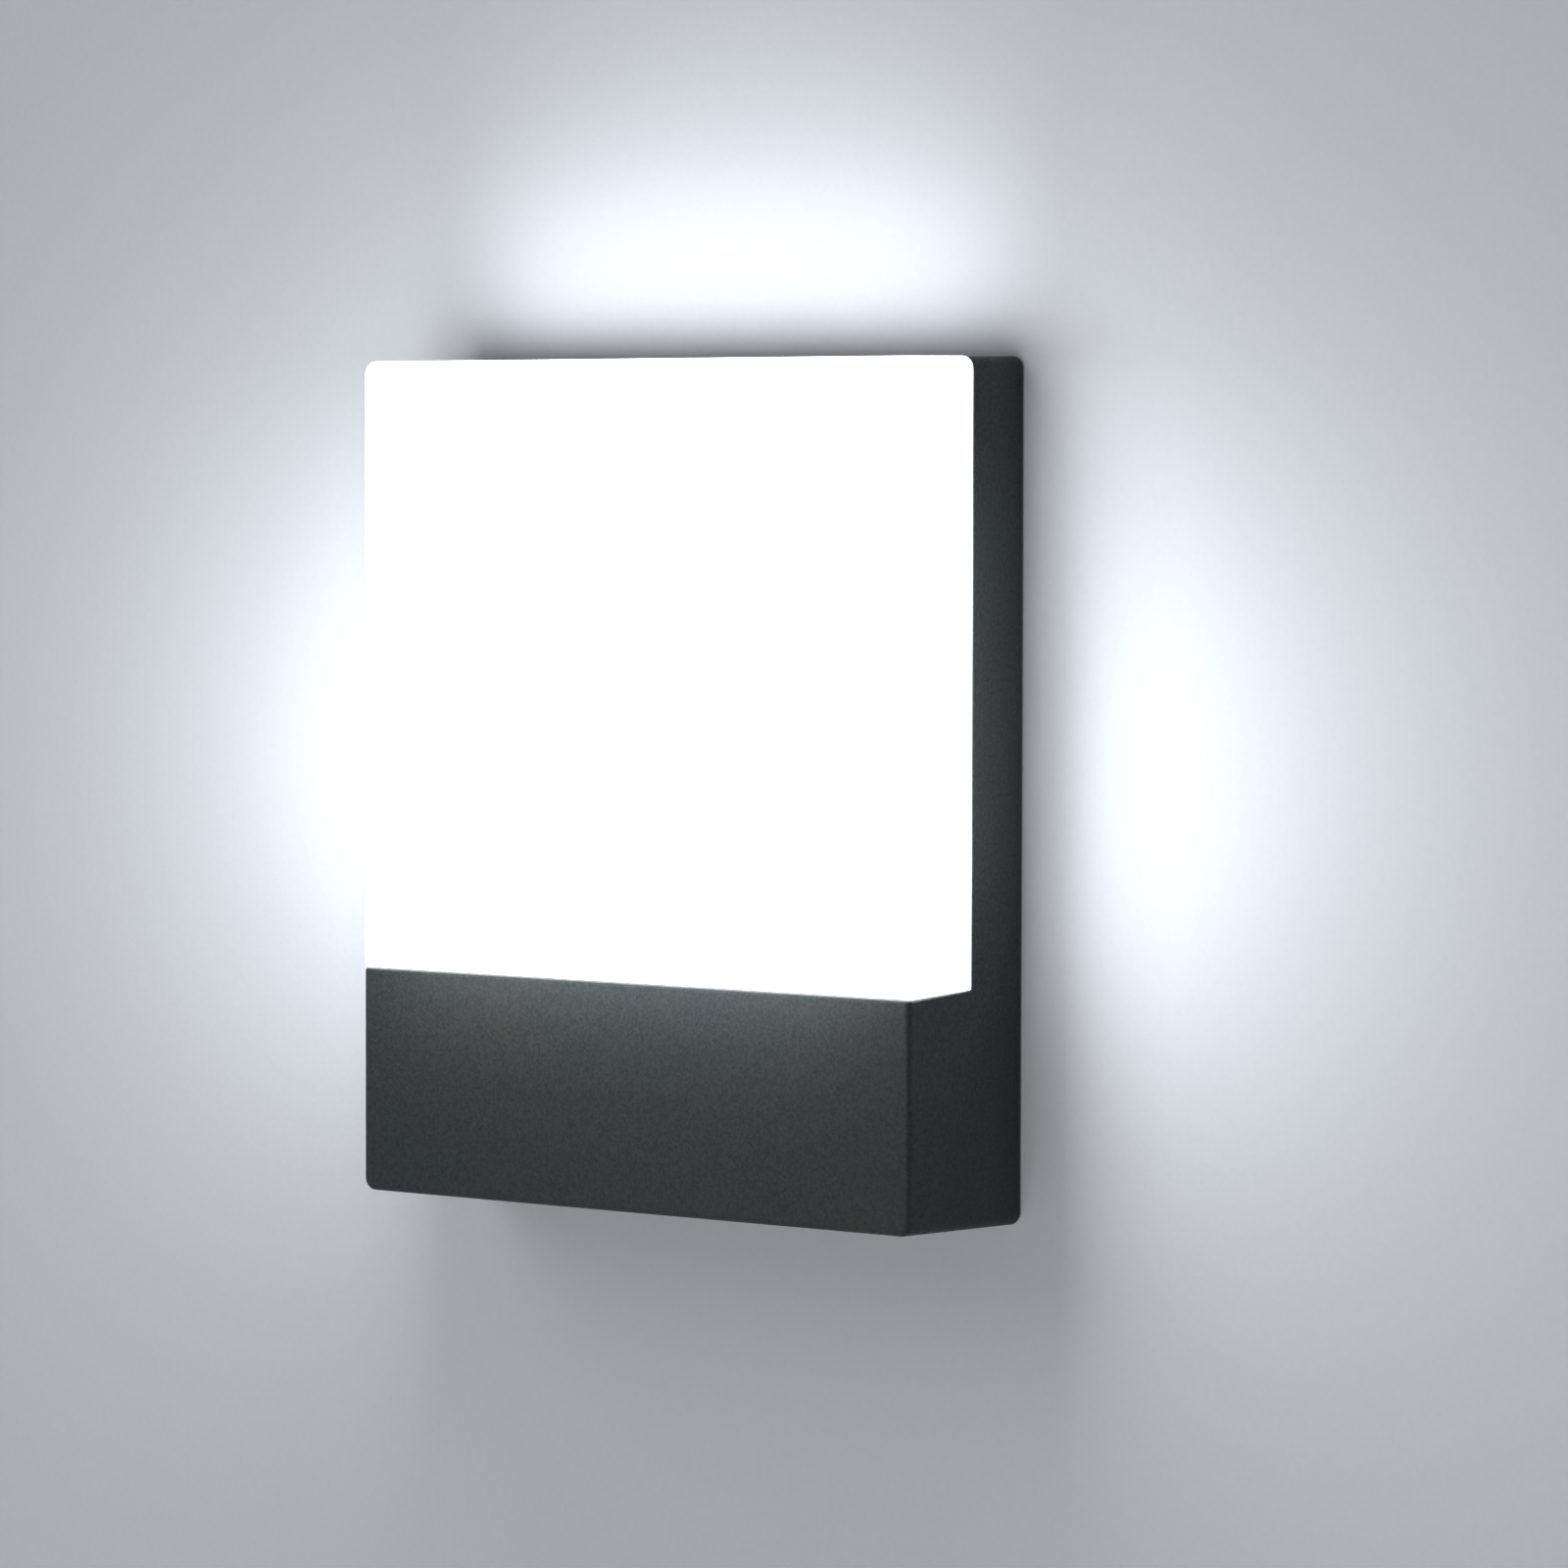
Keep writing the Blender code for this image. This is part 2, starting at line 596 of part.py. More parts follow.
def build_rear_cover(cover_finish, rubber_finish, screw_finish, lamp):
    bm = bmesh.new()
    rounded_block(bm, COVER, COVER_NEAR, COVER_NEAR + SHEET, 3 * MM)
    cover = place("rear_cover", mesh_from("rear_cover", bm, cover_finish), lamp)
    bores = bmesh.new()
    for x, z in COVER_SCREWS:
        rod(bores, x, z, BORE, COVER_NEAR - MM, COVER_NEAR + 3 * MM)
    rod(bores, CABLE_X, CABLE_Z, GROMMET_NECK + GAP, COVER_NEAR - MM, COVER_NEAR + 3 * MM, 24)
    shape_with(cover, "DIFFERENCE", "cover_bores", bores)

    near, far = COVER_NEAR + SHEET + GAP, RECESS - GAP
    left, right, bottom, top = OPENING
    loops = []
    for grow in (MM, MM + SEAL_WIDTH):
        loops.append(outline(left - grow, right + grow, bottom - grow, top + grow, 2 * MM, 2 * MM))
    inner, outer = loops
    seal = bmesh.new()
    skin(seal, [ring(outer, near), ring(outer, far), ring(inner, far), ring(inner, near)], hollow=True)
    place("rear_cover_seal", mesh_from("rear_cover_seal", seal, rubber_finish), lamp)

    screw = screw_mesh("cover_screw", SMALL_SCREW, 10.4 * MM, screw_finish)
    for number, (x, z) in enumerate(COVER_SCREWS, 1):
        place(f"rear_cover_screw_{number}", screw, lamp, (x, -(COVER_NEAR - GAP), z))

    grommet = bmesh.new()
    outside = COVER_NEAR - GAP - GROMMET_LIP
    turned(grommet, (CABLE_X, -outside, CABLE_Z), (0, -1, 0), grommet_profile(), 20, hollow=True)
    place("cable_grommet", mesh_from("cable_grommet", grommet, rubber_finish), lamp)


# ---------------------------------------------------------------- the driver and the terminal block

def build_driver(case_finish, board_finish, screw_finish, lamp):
    left, right, bottom, top = DRIVER
    case = bmesh.new()
    block(case, DRIVER, DRIVER_NEAR, DRIVER_FAR)
    case_part = place("driver_case", mesh_from("driver_case", case, case_finish), lamp)

    tabs = bmesh.new()
    for x in (left, right):
        reach = sorted((x + math.copysign(DRIVER_TAB, x), x - math.copysign(MM, x)))
        block(tabs, (*reach, MID_Z - 6 * MM, MID_Z + 6 * MM), TAB_NEAR, TAB_FAR)
    shape_with(case_part, "UNION", "driver_tabs", tabs)

    inside = bmesh.new()
    wall = DRIVER_WALL
    hollow = (left + wall, right - wall, bottom + wall, top - wall)
    block(inside, hollow, DRIVER_NEAR - MM, DRIVER_FAR - wall)
    shape_with(case_part, "DIFFERENCE", "driver_space", inside)

    holes = bmesh.new()
    for x in DRIVER_SCREWS_X:
        rod(holes, x, MID_Z, BORE, TAB_NEAR - MM, TAB_FAR + MM)
    for x in (left, right):
        for z in EXITS:
            turned(holes, (x - 3 * MM, -EXIT_DEPTH, z), (1, 0, 0), [(0, WIRE_BORE), (6 * MM, WIRE_BORE)])
    shape_with(case_part, "DIFFERENCE", "driver_holes", holes)

    lid = bmesh.new()
    block(lid, DRIVER, DRIVER_NEAR - GAP - DRIVER_WALL, DRIVER_NEAR - GAP)
    place("driver_lid", mesh_from("driver_lid", lid, case_finish), lamp)

    board = bmesh.new()
    board_far = DRIVER_FAR - wall - 3 * MM
    edge = 2 * wall
    block(board, (left + edge, right - edge, bottom + edge, top - edge), board_far - BOARD, board_far)
    board_part = place("driver_board", mesh_from("driver_board", board, board_finish), lamp)
    parts = bmesh.new()
    transformer = (left + 22 * MM, left + 38 * MM, MID_Z - 9 * MM, MID_Z + 7 * MM)
    block(parts, transformer, 31 * MM, board_far - MM)
    choke = (left + 8 * MM, left + 17 * MM, MID_Z - 8 * MM, MID_Z + 4 * MM)
    block(parts, choke, 34 * MM, board_far - MM)
    capacitor_x, capacitor_radius = right - 18 * MM, 5 * MM
    rod(parts, capacitor_x, MID_Z - 3 * MM, capacitor_radius, 32 * MM, board_far - MM)
    shape_with(board_part, "UNION", "driver_components", parts)

    screw = screw_mesh("driver_screw", SMALL_SCREW, 4.6 * MM, screw_finish)
    for number, x in enumerate(DRIVER_SCREWS_X, 1):
        place(f"driver_screw_{number}", screw, lamp, (x, -(TAB_NEAR - GAP), MID_Z))


def build_terminal_block(block_finish, brass_finish, screw_finish, lamp):
    bm = bmesh.new()
    block(bm, TERMINAL, TERMINAL_NEAR, TERMINAL_FAR)
    terminal = place("terminal_block", mesh_from("terminal_block", bm, block_finish), lamp)
    well_far = TERMINAL_NEAR + WELL_DEPTH
    wells = bmesh.new()
    for x in POLES:
        for z in CLAMP_ROWS:
            rod(wells, x, z, WELL, TERMINAL_NEAR - MM, well_far)
        entries = ((TERMINAL[3] + MM, (0, 0, -1), WIRE_BORE), (TERMINAL[2] - MM, (0, 0, 1), BORE))
        for z, direction, radius in entries:
            turned(wells, (x, -WIRE_DEPTH, z), direction, [(0, radius), (6 * MM, radius)])
    head_radius, head_height, _ = SMALL_SCREW
    sunk, far = head_height + GAP, TERMINAL_FAR - TERMINAL_NEAR + MM
    profile = [(-MM, head_radius + 1.5 * GAP), (sunk, head_radius + 1.5 * GAP), (sunk, BORE), (far, BORE)]
    turned(wells, (BLOCK_SCREW_X, -TERMINAL_NEAR, MID_Z), (0, -1, 0), profile)
    shape_with(terminal, "DIFFERENCE", "terminal_wells", wells)

    shank_length = 3 * MM
    clamp = screw_mesh("terminal_screw", TERMINAL_SCREW, shank_length, brass_finish)
    places = [(x, z) for z in CLAMP_ROWS for x in POLES]
    for number, (x, z) in enumerate(places, 1):
        place(f"terminal_screw_{number}", clamp, lamp, (x, -(well_far - GAP - shank_length), z))

    fixing = screw_mesh("block_screw", SMALL_SCREW, 18.2 * MM, screw_finish)
    place("terminal_block_screw", fixing, lamp, (BLOCK_SCREW_X, -(TERMINAL_NEAR + head_height), MID_Z))


def build_earth(screw_finish, tag_finish, lamp):
    """The earth screw, and the ring tag under its head that ends the earth wire."""
    tag_near = EARTH_BOSS - GAP - TAG
    profile = [(0, BORE), (0, TAG_RADIUS), (TAG, TAG_RADIUS), (TAG, BORE)]
    bm = bmesh.new()
    turned(bm, (EARTH_X, -tag_near, MID_Z), (0, -1, 0), profile, 16, hollow=True)
    tag = place("earth_terminal", mesh_from("earth_terminal", bm, tag_finish), lamp)
    barrel = bmesh.new()
    tongue = (EARTH_X - 1.3 * MM, EARTH_X + 1.3 * MM, MID_Z + 2.5 * MM, MID_Z + 8 * MM)
    block(barrel, tongue, tag_near, tag_near + TAG)
    shape_with(tag, "UNION", "earth_barrel", barrel)
    screw = screw_mesh("earth_screw", SMALL_SCREW, 5.6 * MM, screw_finish)
    place("earth_screw", screw, lamp, (EARTH_X, -(tag_near - GAP), MID_Z))


def build_wires(colours, lamp):
    """The leads inside the lamp, each along its real route: (x, depth, z) in millimetres."""
    routes = {
        "live_wire": [
            (10, 33, -72), (15.5, 33, -72), (24, 33.5, -67),
            (32, 35, -62), (36, 35, -65.5), (36, 35, -71),
        ],
        "neutral_wire": [
            (10, 33, -69), (15.5, 33, -69), (26, 30.5, -62),
            (40, 31.5, -60.5), (46, 35, -64), (46, 35, -71),
        ],
        "earth_wire": [
            (56, 35, -71), (56, 35, -65.5), (60, 35, -61.5),
            (67, 35.5, -62.5), (71, 36.5, -66), (72, 37.8, -70),
        ],
        "led_positive_wire": [
            (-62, 33, -72), (-67.5, 33, -72), (-72, 29, -71), (-73, 20, -69),
            (-73, 13.5, -65.5), (-73, 13, -61), (-73, 13, -50), (-73, 14.2, -46),
            (-73, 17.4, -43.5), (-73, 18.1, -40.5), (-73, 18.1, -38),
        ],
        "led_negative_wire": [
            (-62, 33, -69), (-67, 32.5, -69), (-69, 28, -68.5), (-69, 20, -67.5),
            (-69, 13.5, -65), (-69, 13, -61), (-69, 13, -50), (-69, 14.2, -46),
            (-69, 17.4, -43.5), (-69, 18.1, -40.5), (-69, 18.1, -38),
        ],
    }
    for name, route in routes.items():
        wire(name, route, colours[name], lamp)


def build():
    clear_scene()
    lamp = place("lamp", None)
    graphite = material("graphite_paint", (0.045, 0.05, 0.056), 0.55)
    opal = material("opal_plastic", (0.93, 0.95, 0.97), 0.4)
    zinc = material("zinc_steel", (0.62, 0.64, 0.66), 0.35, 1.0)
    stainless = material("stainless_steel", (0.7, 0.7, 0.7), 0.3, 1.0)
    rubber = material("black_rubber", (0.03, 0.03, 0.03), 0.8)
    silicone = material("grey_silicone", (0.5, 0.5, 0.5), 0.6)
    white_board = material("white_board", (0.85, 0.86, 0.84), 0.45)
    phosphor = material("led_phosphor", (0.9, 0.82, 0.35), 0.4)
    green_board = material("green_board", (0.05, 0.25, 0.1), 0.4)
    white_plastic = material("white_plastic", (0.8, 0.8, 0.78), 0.45)
    brass = material("brass", (0.75, 0.58, 0.28), 0.35, 1.0)
    colours = {
        "live_wire": material("brown_insulation", (0.23, 0.1, 0.04), 0.4),
        "neutral_wire": material("blue_insulation", (0.04, 0.16, 0.5), 0.4),
        "earth_wire": material("green_insulation", (0.15, 0.45, 0.08), 0.4),
        "led_positive_wire": material("red_insulation", (0.55, 0.03, 0.03), 0.4),
        "led_negative_wire": material("black_insulation", (0.02, 0.02, 0.02), 0.4),
    }
    build_bracket(zinc)
    build_clamps(stainless, zinc, lamp)
    build_housing(graphite, lamp)
    build_diffuser(opal, lamp)
    build_diffuser_seal(silicone, lamp)
    build_diffuser_screws(stainless, lamp)
    build_led_board(white_board, phosphor, stainless, lamp)
    build_rear_cover(zinc, rubber, stainless, lamp)
    build_driver(white_plastic, green_board, stainless, lamp)
    build_terminal_block(white_plastic, brass, stainless, lamp)
    build_earth(stainless, zinc, lamp)
    build_wires(colours, lamp)


build()
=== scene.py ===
"""The looks of a flat outdoor LED wall light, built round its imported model.

Metres, +Z up, the wall plane at y = 0 and the lamp towards -Y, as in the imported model. Each fine piece
stands for the CAD node that it is named after.
"""

import json
import math

import bmesh
import bpy
from mathutils import Matrix, Vector

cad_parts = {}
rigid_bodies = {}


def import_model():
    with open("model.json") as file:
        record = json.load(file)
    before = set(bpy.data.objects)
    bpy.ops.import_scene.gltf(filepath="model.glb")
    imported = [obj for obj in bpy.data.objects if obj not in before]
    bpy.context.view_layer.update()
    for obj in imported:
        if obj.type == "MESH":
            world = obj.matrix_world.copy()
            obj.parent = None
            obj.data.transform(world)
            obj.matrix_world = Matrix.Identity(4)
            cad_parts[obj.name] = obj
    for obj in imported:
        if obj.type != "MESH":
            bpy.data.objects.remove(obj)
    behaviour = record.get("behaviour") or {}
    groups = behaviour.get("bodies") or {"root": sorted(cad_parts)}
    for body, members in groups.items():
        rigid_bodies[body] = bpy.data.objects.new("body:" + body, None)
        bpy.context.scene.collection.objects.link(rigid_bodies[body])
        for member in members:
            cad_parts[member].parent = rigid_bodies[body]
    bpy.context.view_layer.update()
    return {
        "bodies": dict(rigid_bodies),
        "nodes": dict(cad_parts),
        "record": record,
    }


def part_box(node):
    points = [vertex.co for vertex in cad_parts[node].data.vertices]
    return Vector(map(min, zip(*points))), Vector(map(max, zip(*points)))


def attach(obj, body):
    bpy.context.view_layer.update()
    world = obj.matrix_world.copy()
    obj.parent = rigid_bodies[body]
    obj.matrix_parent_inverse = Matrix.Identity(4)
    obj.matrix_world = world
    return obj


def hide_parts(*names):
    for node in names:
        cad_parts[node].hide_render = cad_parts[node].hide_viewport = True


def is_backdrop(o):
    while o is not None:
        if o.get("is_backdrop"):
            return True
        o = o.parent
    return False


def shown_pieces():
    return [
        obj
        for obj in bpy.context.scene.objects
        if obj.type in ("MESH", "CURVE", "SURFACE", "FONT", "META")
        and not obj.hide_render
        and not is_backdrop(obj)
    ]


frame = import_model()

MM = 0.001
BODY = {node: body for body, nodes in frame["record"]["behaviour"]["bodies"].items() for node in nodes}
SLOT = {part["node"]: part["material_slot"] for part in frame["record"]["subparts"]}

# Mesh clean-up and fineness
SAME_POINT = 0.002 * MM            # points closer than this are one point
FLAT = math.radians(0.4)           # faces that meet at less than this are one face
SHARP = math.radians(33)           # edges that turn by more than this get rounded
CREASE = math.radians(50)          # edges that turn by more than this stay sharp in the shading
ROUND_SIDES = 24                   # sides of a screw
LED_SIDES = 48
FINE_SIDES = 72                    # sides of a cut or of the grommet
EASE = 0.03 * MM                   # how far a fine cut goes past the faceted one that it smooths

# Rounded edges: width and segments
LEDGE_EDGE = (0.8 * MM, 5)
HOUSING_EDGE = (0.22 * MM, 2)
DIFFUSER_EDGE = (0.3 * MM, 3)
BRACKET_EDGE = (0.2 * MM, 2)
GROMMET_EDGE = (0.2 * MM, 3)
LED_BOARD_EDGE = (0.12 * MM, 2)
DRIVER_BOARD_EDGE = (0.25 * MM, 3)
SHEET_EDGE = (0.18 * MM, 2)
SMALL_PART_EDGE = (0.25 * MM, 3)

# Camera: place in metres, and its turn from a level look along +Y
CAMERA_PLACE = (1.2380, -1.5276, 0.08745)
CAMERA_YAW = math.radians(38.66)
CAMERA_PITCH = math.radians(-2.57)
CAMERA_ROLL = math.radians(0.13)
CAMERA_LENS = 158.73

# Patterns: the part of a noise's range that is used, because values near 0 and 1 are rare
NOISE_LOW = 0.3
NOISE_HIGH = 0.7

# Stage, in metres
WALL_REACH = 4.0
WALL_BEHIND = 0.3 * MM             # how far the wall lies behind the bracket
WALL_OVERLAP = 1 * MM              # how far it reaches in behind the bracket's edges
FLOOR_Z = -1.2
FLOOR_REACH = 14.0

# Sky: its colour, and its strengths in front of the wall, behind it, and where it is seen directly
SKY_COLOUR = (0.95, 0.97, 1.0, 1)
SKY_FRONT = 0.16
SKY_BEHIND = 0.75
SKY_SEEN = 0.62

# Soft lights: place, width and height, and power in watts
KEY = ((-1.9, -2.4, 1.7), (2.2, 2.2), 28)
WALL_FILL = ((0.3, -2.5, -1.0), (1.8, 1.8), 29)
LAMP_FILL = ((-0.1, -2.6, 0.35), (1.4, 1.4), 19)
BACK_FILL = ((-1.5, 2.6, 0.0), (2.4, 1.6), 55)
FLOOR_SUN = 2.4

# The diffuser's glow: its colour, and the width and height and power of each light that adds to it
GLOW = (0.93, 1.0, 1.0)
SPILL = ((60 * MM, 90 * MM), 0.34)
SHEEN = ((10 * MM, 110 * MM), 0.05)
SPILL_ABOVE = ((140 * MM, 60 * MM), 0.035)
CROWN = ((185 * MM, 25 * MM), 0.082)
WASH = ((175 * MM, 20 * MM), 0.078)

# Screws: head radius, head height, shank radius, thread pitch
SMALL_SCREW = (2.75 * MM, 2.0 * MM, 1.5 * MM, 1.0 * MM)
CLAMP_SCREW = (3.8 * MM, 2.0 * MM, 2.0 * MM, 0.7 * MM)
TERMINAL_SCREW = (1.95 * MM, 1.2 * MM, 1.5 * MM, 0.5 * MM)

# Round cuts in the bracket and the housing
CABLE_HOLE = 13 * MM               # radius
WALL_SLOT = (2.5 * MM, 3.5 * MM)   # radius of its ends, and their centres from its middle
WALL_SLOT_X = 40 * MM
UPPER_SLOT_Z = 85 * MM
LOWER_SLOT_Z = -45 * MM
COUNTERBORE = (4.4 * MM, 2.4 * MM)  # radius and depth
CUT_REACH = 4 * MM                 # how far a cut through the bracket reaches each way

# Where the driver board's tall parts end, as shares of its width
DRIVER_PARTS = (0.22, 0.6)


# ---------------------------------------------------------------- node materials

class Finish:
    """A node material on a Principled shader, with patterns in the piece's own coordinates."""

    def __init__(self, name, colour, roughness, metallic=0.0):
        self.material = bpy.data.materials.new(name)
        self.material.use_nodes = True
        self.nodes = self.material.node_tree.nodes
        self.links = self.material.node_tree.links
        self.shader = self.nodes["Principled BSDF"]
        self.set("Base Color", (*colour, 1))
        self.set("Roughness", roughness)
        self.set("Metallic", metallic)
        self.place = self.nodes.new("ShaderNodeTexCoord").outputs["Object"]
        self.relief = None

    def set(self, socket, value):
        self.shader.inputs[socket].default_value = value

    def node(self, kind, **values):
        made = self.nodes.new(kind)
        for name, value in values.items():
            setattr(made, name, value)
        return made

    def stretched(self, scale):
        """The piece's coordinates, scaled differently along each axis."""
        mapping = self.node("ShaderNodeMapping")
        mapping.inputs["Scale"].default_value = scale
        self.links.new(self.place, mapping.inputs["Vector"])
        return mapping.outputs["Vector"]

    def noise(self, size, detail=2.0, rough=0.5, place=None):
        """Cloudy noise whose features are about size metres across."""
        made = self.node("ShaderNodeTexNoise")
        made.inputs["Scale"].default_value = 1 / size
        made.inputs["Detail"].default_value = detail
        made.inputs["Roughness"].default_value = rough
        self.links.new(place or self.place, made.inputs["Vector"])
        return made.outputs["Fac"]

    def cells(self, size):
        """Cells about size metres across, each of one random tone."""
        made = self.node("ShaderNodeTexVoronoi", feature="F1")
        made.inputs["Scale"].default_value = 1 / size
        self.links.new(self.place, made.inputs["Vector"])
        return made.outputs["Color"]

    def ranged(self, pattern, low, high):
        """A pattern, spread over low..high."""
        made = self.node("ShaderNodeMapRange")
        made.inputs["From Min"].default_value = NOISE_LOW
        made.inputs["From Max"].default_value = NOISE_HIGH
        made.inputs["To Min"].default_value = low
        made.inputs["To Max"].default_value = high
        self.links.new(pattern, made.inputs["Value"])
        return made.outputs["Result"]

    def vary_colour(self, pattern, first, second):
        ramp = self.node("ShaderNodeValToRGB")
        low, high = ramp.color_ramp.elements
        low.position, low.color = NOISE_LOW, (*first, 1)
        high.position, high.color = NOISE_HIGH, (*second, 1)
        self.links.new(pattern, ramp.inputs["Fac"])
        self.links.new(ramp.outputs["Color"], self.shader.inputs["Base Color"])
        return ramp.outputs["Color"]

    def tint(self, colour, pattern, amount):
        """Multiplies a colour by a grey that varies by amount either side of 1."""
        mix = self.node("ShaderNodeMix", data_type="RGBA", blend_type="MULTIPLY")
        mix.inputs["Factor"].default_value = 1.0
        grey = self.ranged(pattern, 1 - amount, 1 + amount)
        self.links.new(colour, mix.inputs[6])
        self.links.new(grey, mix.inputs[7])
        self.links.new(mix.outputs[2], self.shader.inputs["Base Color"])
        return mix.outputs[2]

    def vary_roughness(self, pattern, low, high):
        self.links.new(self.ranged(pattern, low, high), self.shader.inputs["Roughness"])

    def bump(self, pattern, distance):
        """Raises the surface by up to distance metres; later bumps lie over earlier ones."""
        made = self.node("ShaderNodeBump")
        made.inputs["Distance"].default_value = distance
        made.inputs["Strength"].default_value = 1.0
        self.links.new(pattern, made.inputs["Height"])
        if self.relief:
            self.links.new(self.relief, made.inputs["Normal"])
        self.relief = made.outputs["Normal"]
        self.links.new(self.relief, self.shader.inputs["Normal"])


def powder_coat():
    """Graphite powder coat: a fine leathery grain with slow changes of tone."""
    paint = Finish("graphite_paint", (0.03, 0.034, 0.035), 0.5)
    paint.set("Specular IOR Level", 0.25)
    grain = paint.noise(0.9 * MM, 3, 0.7)
    broad = paint.noise(60 * MM, 2)
    colour = paint.vary_colour(broad, (0.026, 0.0335, 0.037), (0.033, 0.0345, 0.033))
    paint.tint(colour, grain, 0.4)
    paint.vary_roughness(paint.noise(1.4 * MM, 3), 0.42, 0.58)
    paint.bump(paint.noise(1.8 * MM, 2), 0.03 * MM)
    paint.bump(grain, 0.05 * MM)
    return paint.material


def opal_plastic():
    """Satin opal plastic that glows all over."""
    opal = Finish("opal_plastic", (0.92, 0.94, 0.96), 0.35)
    opal.vary_colour(opal.noise(25 * MM, 2), (0.9, 0.925, 0.95), (0.94, 0.955, 0.97))
    opal.vary_roughness(opal.noise(0.8 * MM, 3), 0.3, 0.42)
    opal.bump(opal.noise(0.5 * MM, 2), 0.008 * MM)
    opal.set("Emission Color", (*GLOW, 1))
    opal.set("Emission Strength", 3.6)
    return opal.material


def zinc_plate():
    """Zinc-plated sheet: faint crystals, rolling lines and small stains."""
    zinc = Finish("zinc_steel", (0.7, 0.72, 0.74), 0.36, 1.0)
    crystals = zinc.cells(6 * MM)
    rolled = zinc.noise(0.5 * MM, 3, 0.6, zinc.stretched((1.0, 1.0, 0.04)))
    colour = zinc.vary_colour(zinc.noise(18 * MM, 4, 0.6), (0.66, 0.68, 0.7), (0.75, 0.76, 0.77))
    colour = zinc.tint(colour, crystals, 0.035)
    zinc.tint(colour, rolled, 0.06)
    zinc.vary_roughness(zinc.noise(3 * MM, 4, 0.6), 0.32, 0.44)
    zinc.bump(rolled, 0.004 * MM)
    return zinc.material


def stainless():
    """Turned stainless steel with fine tooling marks."""
    steel = Finish("stainless_steel", (0.68, 0.68, 0.67), 0.28, 1.0)
    marks = steel.noise(0.25 * MM, 3, 0.6)
    colour = steel.vary_colour(steel.noise(2 * MM, 2), (0.6, 0.6, 0.6), (0.72, 0.715, 0.7))
    steel.tint(colour, marks, 0.05)
    steel.vary_roughness(marks, 0.2, 0.36)
    steel.bump(marks, 0.003 * MM)
    return steel.material


def moulded(name, dark, light, roughness, grain, depth):
    """Moulded plastic or rubber: a slow change of tone, with a fine grain."""
    body = Finish(name, light, roughness)
    body.vary_colour(body.noise(12 * MM, 3), dark, light)
    body.vary_roughness(body.noise(2 * MM, 3), roughness - 0.07, roughness + 0.07)
    body.bump(body.noise(grain, 2), depth)
    return body.material


def solder_mask(name, dark, light):
    """A board under solder mask, with a fine weave just showing."""
    mask = Finish(name, light, 0.35)
    weave = mask.noise(0.7 * MM, 1, 0.5, mask.stretched((1, 1, 0.35)))
    colour = mask.vary_colour(mask.noise(20 * MM, 3), dark, light)
    mask.tint(colour, weave, 0.04)
    mask.vary_roughness(mask.noise(4 * MM, 2), 0.28, 0.42)
    mask.bump(weave, 0.006 * MM)
    return mask.material


def phosphor():
    """The yellow face of an LED, lit."""
    glow = Finish("led_phosphor", (0.9, 0.8, 0.32), 0.4)
    glow.vary_colour(glow.noise(0.4 * MM, 3), (0.85, 0.72, 0.22), (0.95, 0.86, 0.42))
    glow.vary_roughness(glow.noise(0.3 * MM, 2), 0.32, 0.5)
    glow.set("Emission Color", (1.0, 0.96, 0.85, 1))
    glow.set("Emission Strength", 4.0)
    return glow.material


def bare_metal(name, dark, light):
    """Plain metal with a faint tarnish."""
    metal = Finish(name, light, 0.32, 1.0)
    tarnish = metal.noise(1.5 * MM, 4, 0.6)
    metal.vary_colour(tarnish, dark, light)
    metal.vary_roughness(tarnish, 0.24, 0.44)
    metal.bump(metal.noise(0.2 * MM, 2), 0.003 * MM)
    return metal.material


def make_materials():
    made = {
        "graphite_paint": powder_coat(),
        "opal_plastic": opal_plastic(),
        "zinc_steel": zinc_plate(),
        "stainless_steel": stainless(),
        "black_rubber": moulded("black_rubber", (0.014, 0.014, 0.015), (0.028, 0.028, 0.03), 0.68,
                                0.5 * MM, 0.02 * MM),
        "grey_silicone": moulded("grey_silicone", (0.36, 0.37, 0.37), (0.45, 0.46, 0.46), 0.5,
                                 0.8 * MM, 0.012 * MM),
        "white_board": solder_mask("white_board", (0.8, 0.81, 0.79), (0.86, 0.87, 0.85)),
        "green_board": solder_mask("green_board", (0.02, 0.11, 0.045), (0.035, 0.17, 0.07)),
        "led_phosphor": phosphor(),
        "white_plastic": moulded("white_plastic", (0.7, 0.7, 0.67), (0.8, 0.8, 0.77), 0.42,
                                 0.6 * MM, 0.01 * MM),
        "brass": bare_metal("brass", (0.55, 0.38, 0.16), (0.78, 0.6, 0.3)),
        "solder": bare_metal("solder", (0.5, 0.5, 0.52), (0.7, 0.7, 0.72)),
    }
    insulation = {
        "brown_insulation": ((0.12, 0.045, 0.018), (0.17, 0.07, 0.03)),
        "blue_insulation": ((0.02, 0.09, 0.36), (0.035, 0.13, 0.48)),
        "red_insulation": ((0.38, 0.015, 0.015), (0.5, 0.03, 0.03)),
        "black_insulation": ((0.01, 0.01, 0.011), (0.022, 0.022, 0.024)),
        "green_insulation": ((0.05, 0.24, 0.03), (0.08, 0.32, 0.05)),
    }
    for name, (dark, light) in insulation.items():
        made[name] = moulded(name, dark, light, 0.36, 0.6 * MM, 0.006 * MM)
    return made


MATERIAL = make_materials()


# ---------------------------------------------------------------- meshes

def centre_of(node):
    """The middle of a CAD node's box."""
    low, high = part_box(node)
    return [(a + b) / 2 for a, b in zip(low, high)]


def aimed(place, facing):
    """A turn that makes +Z look along facing, and a move to a place."""
    return Matrix.Translation(place) @ Vector(facing).to_track_quat("Z", "Y").to_matrix().to_4x4()


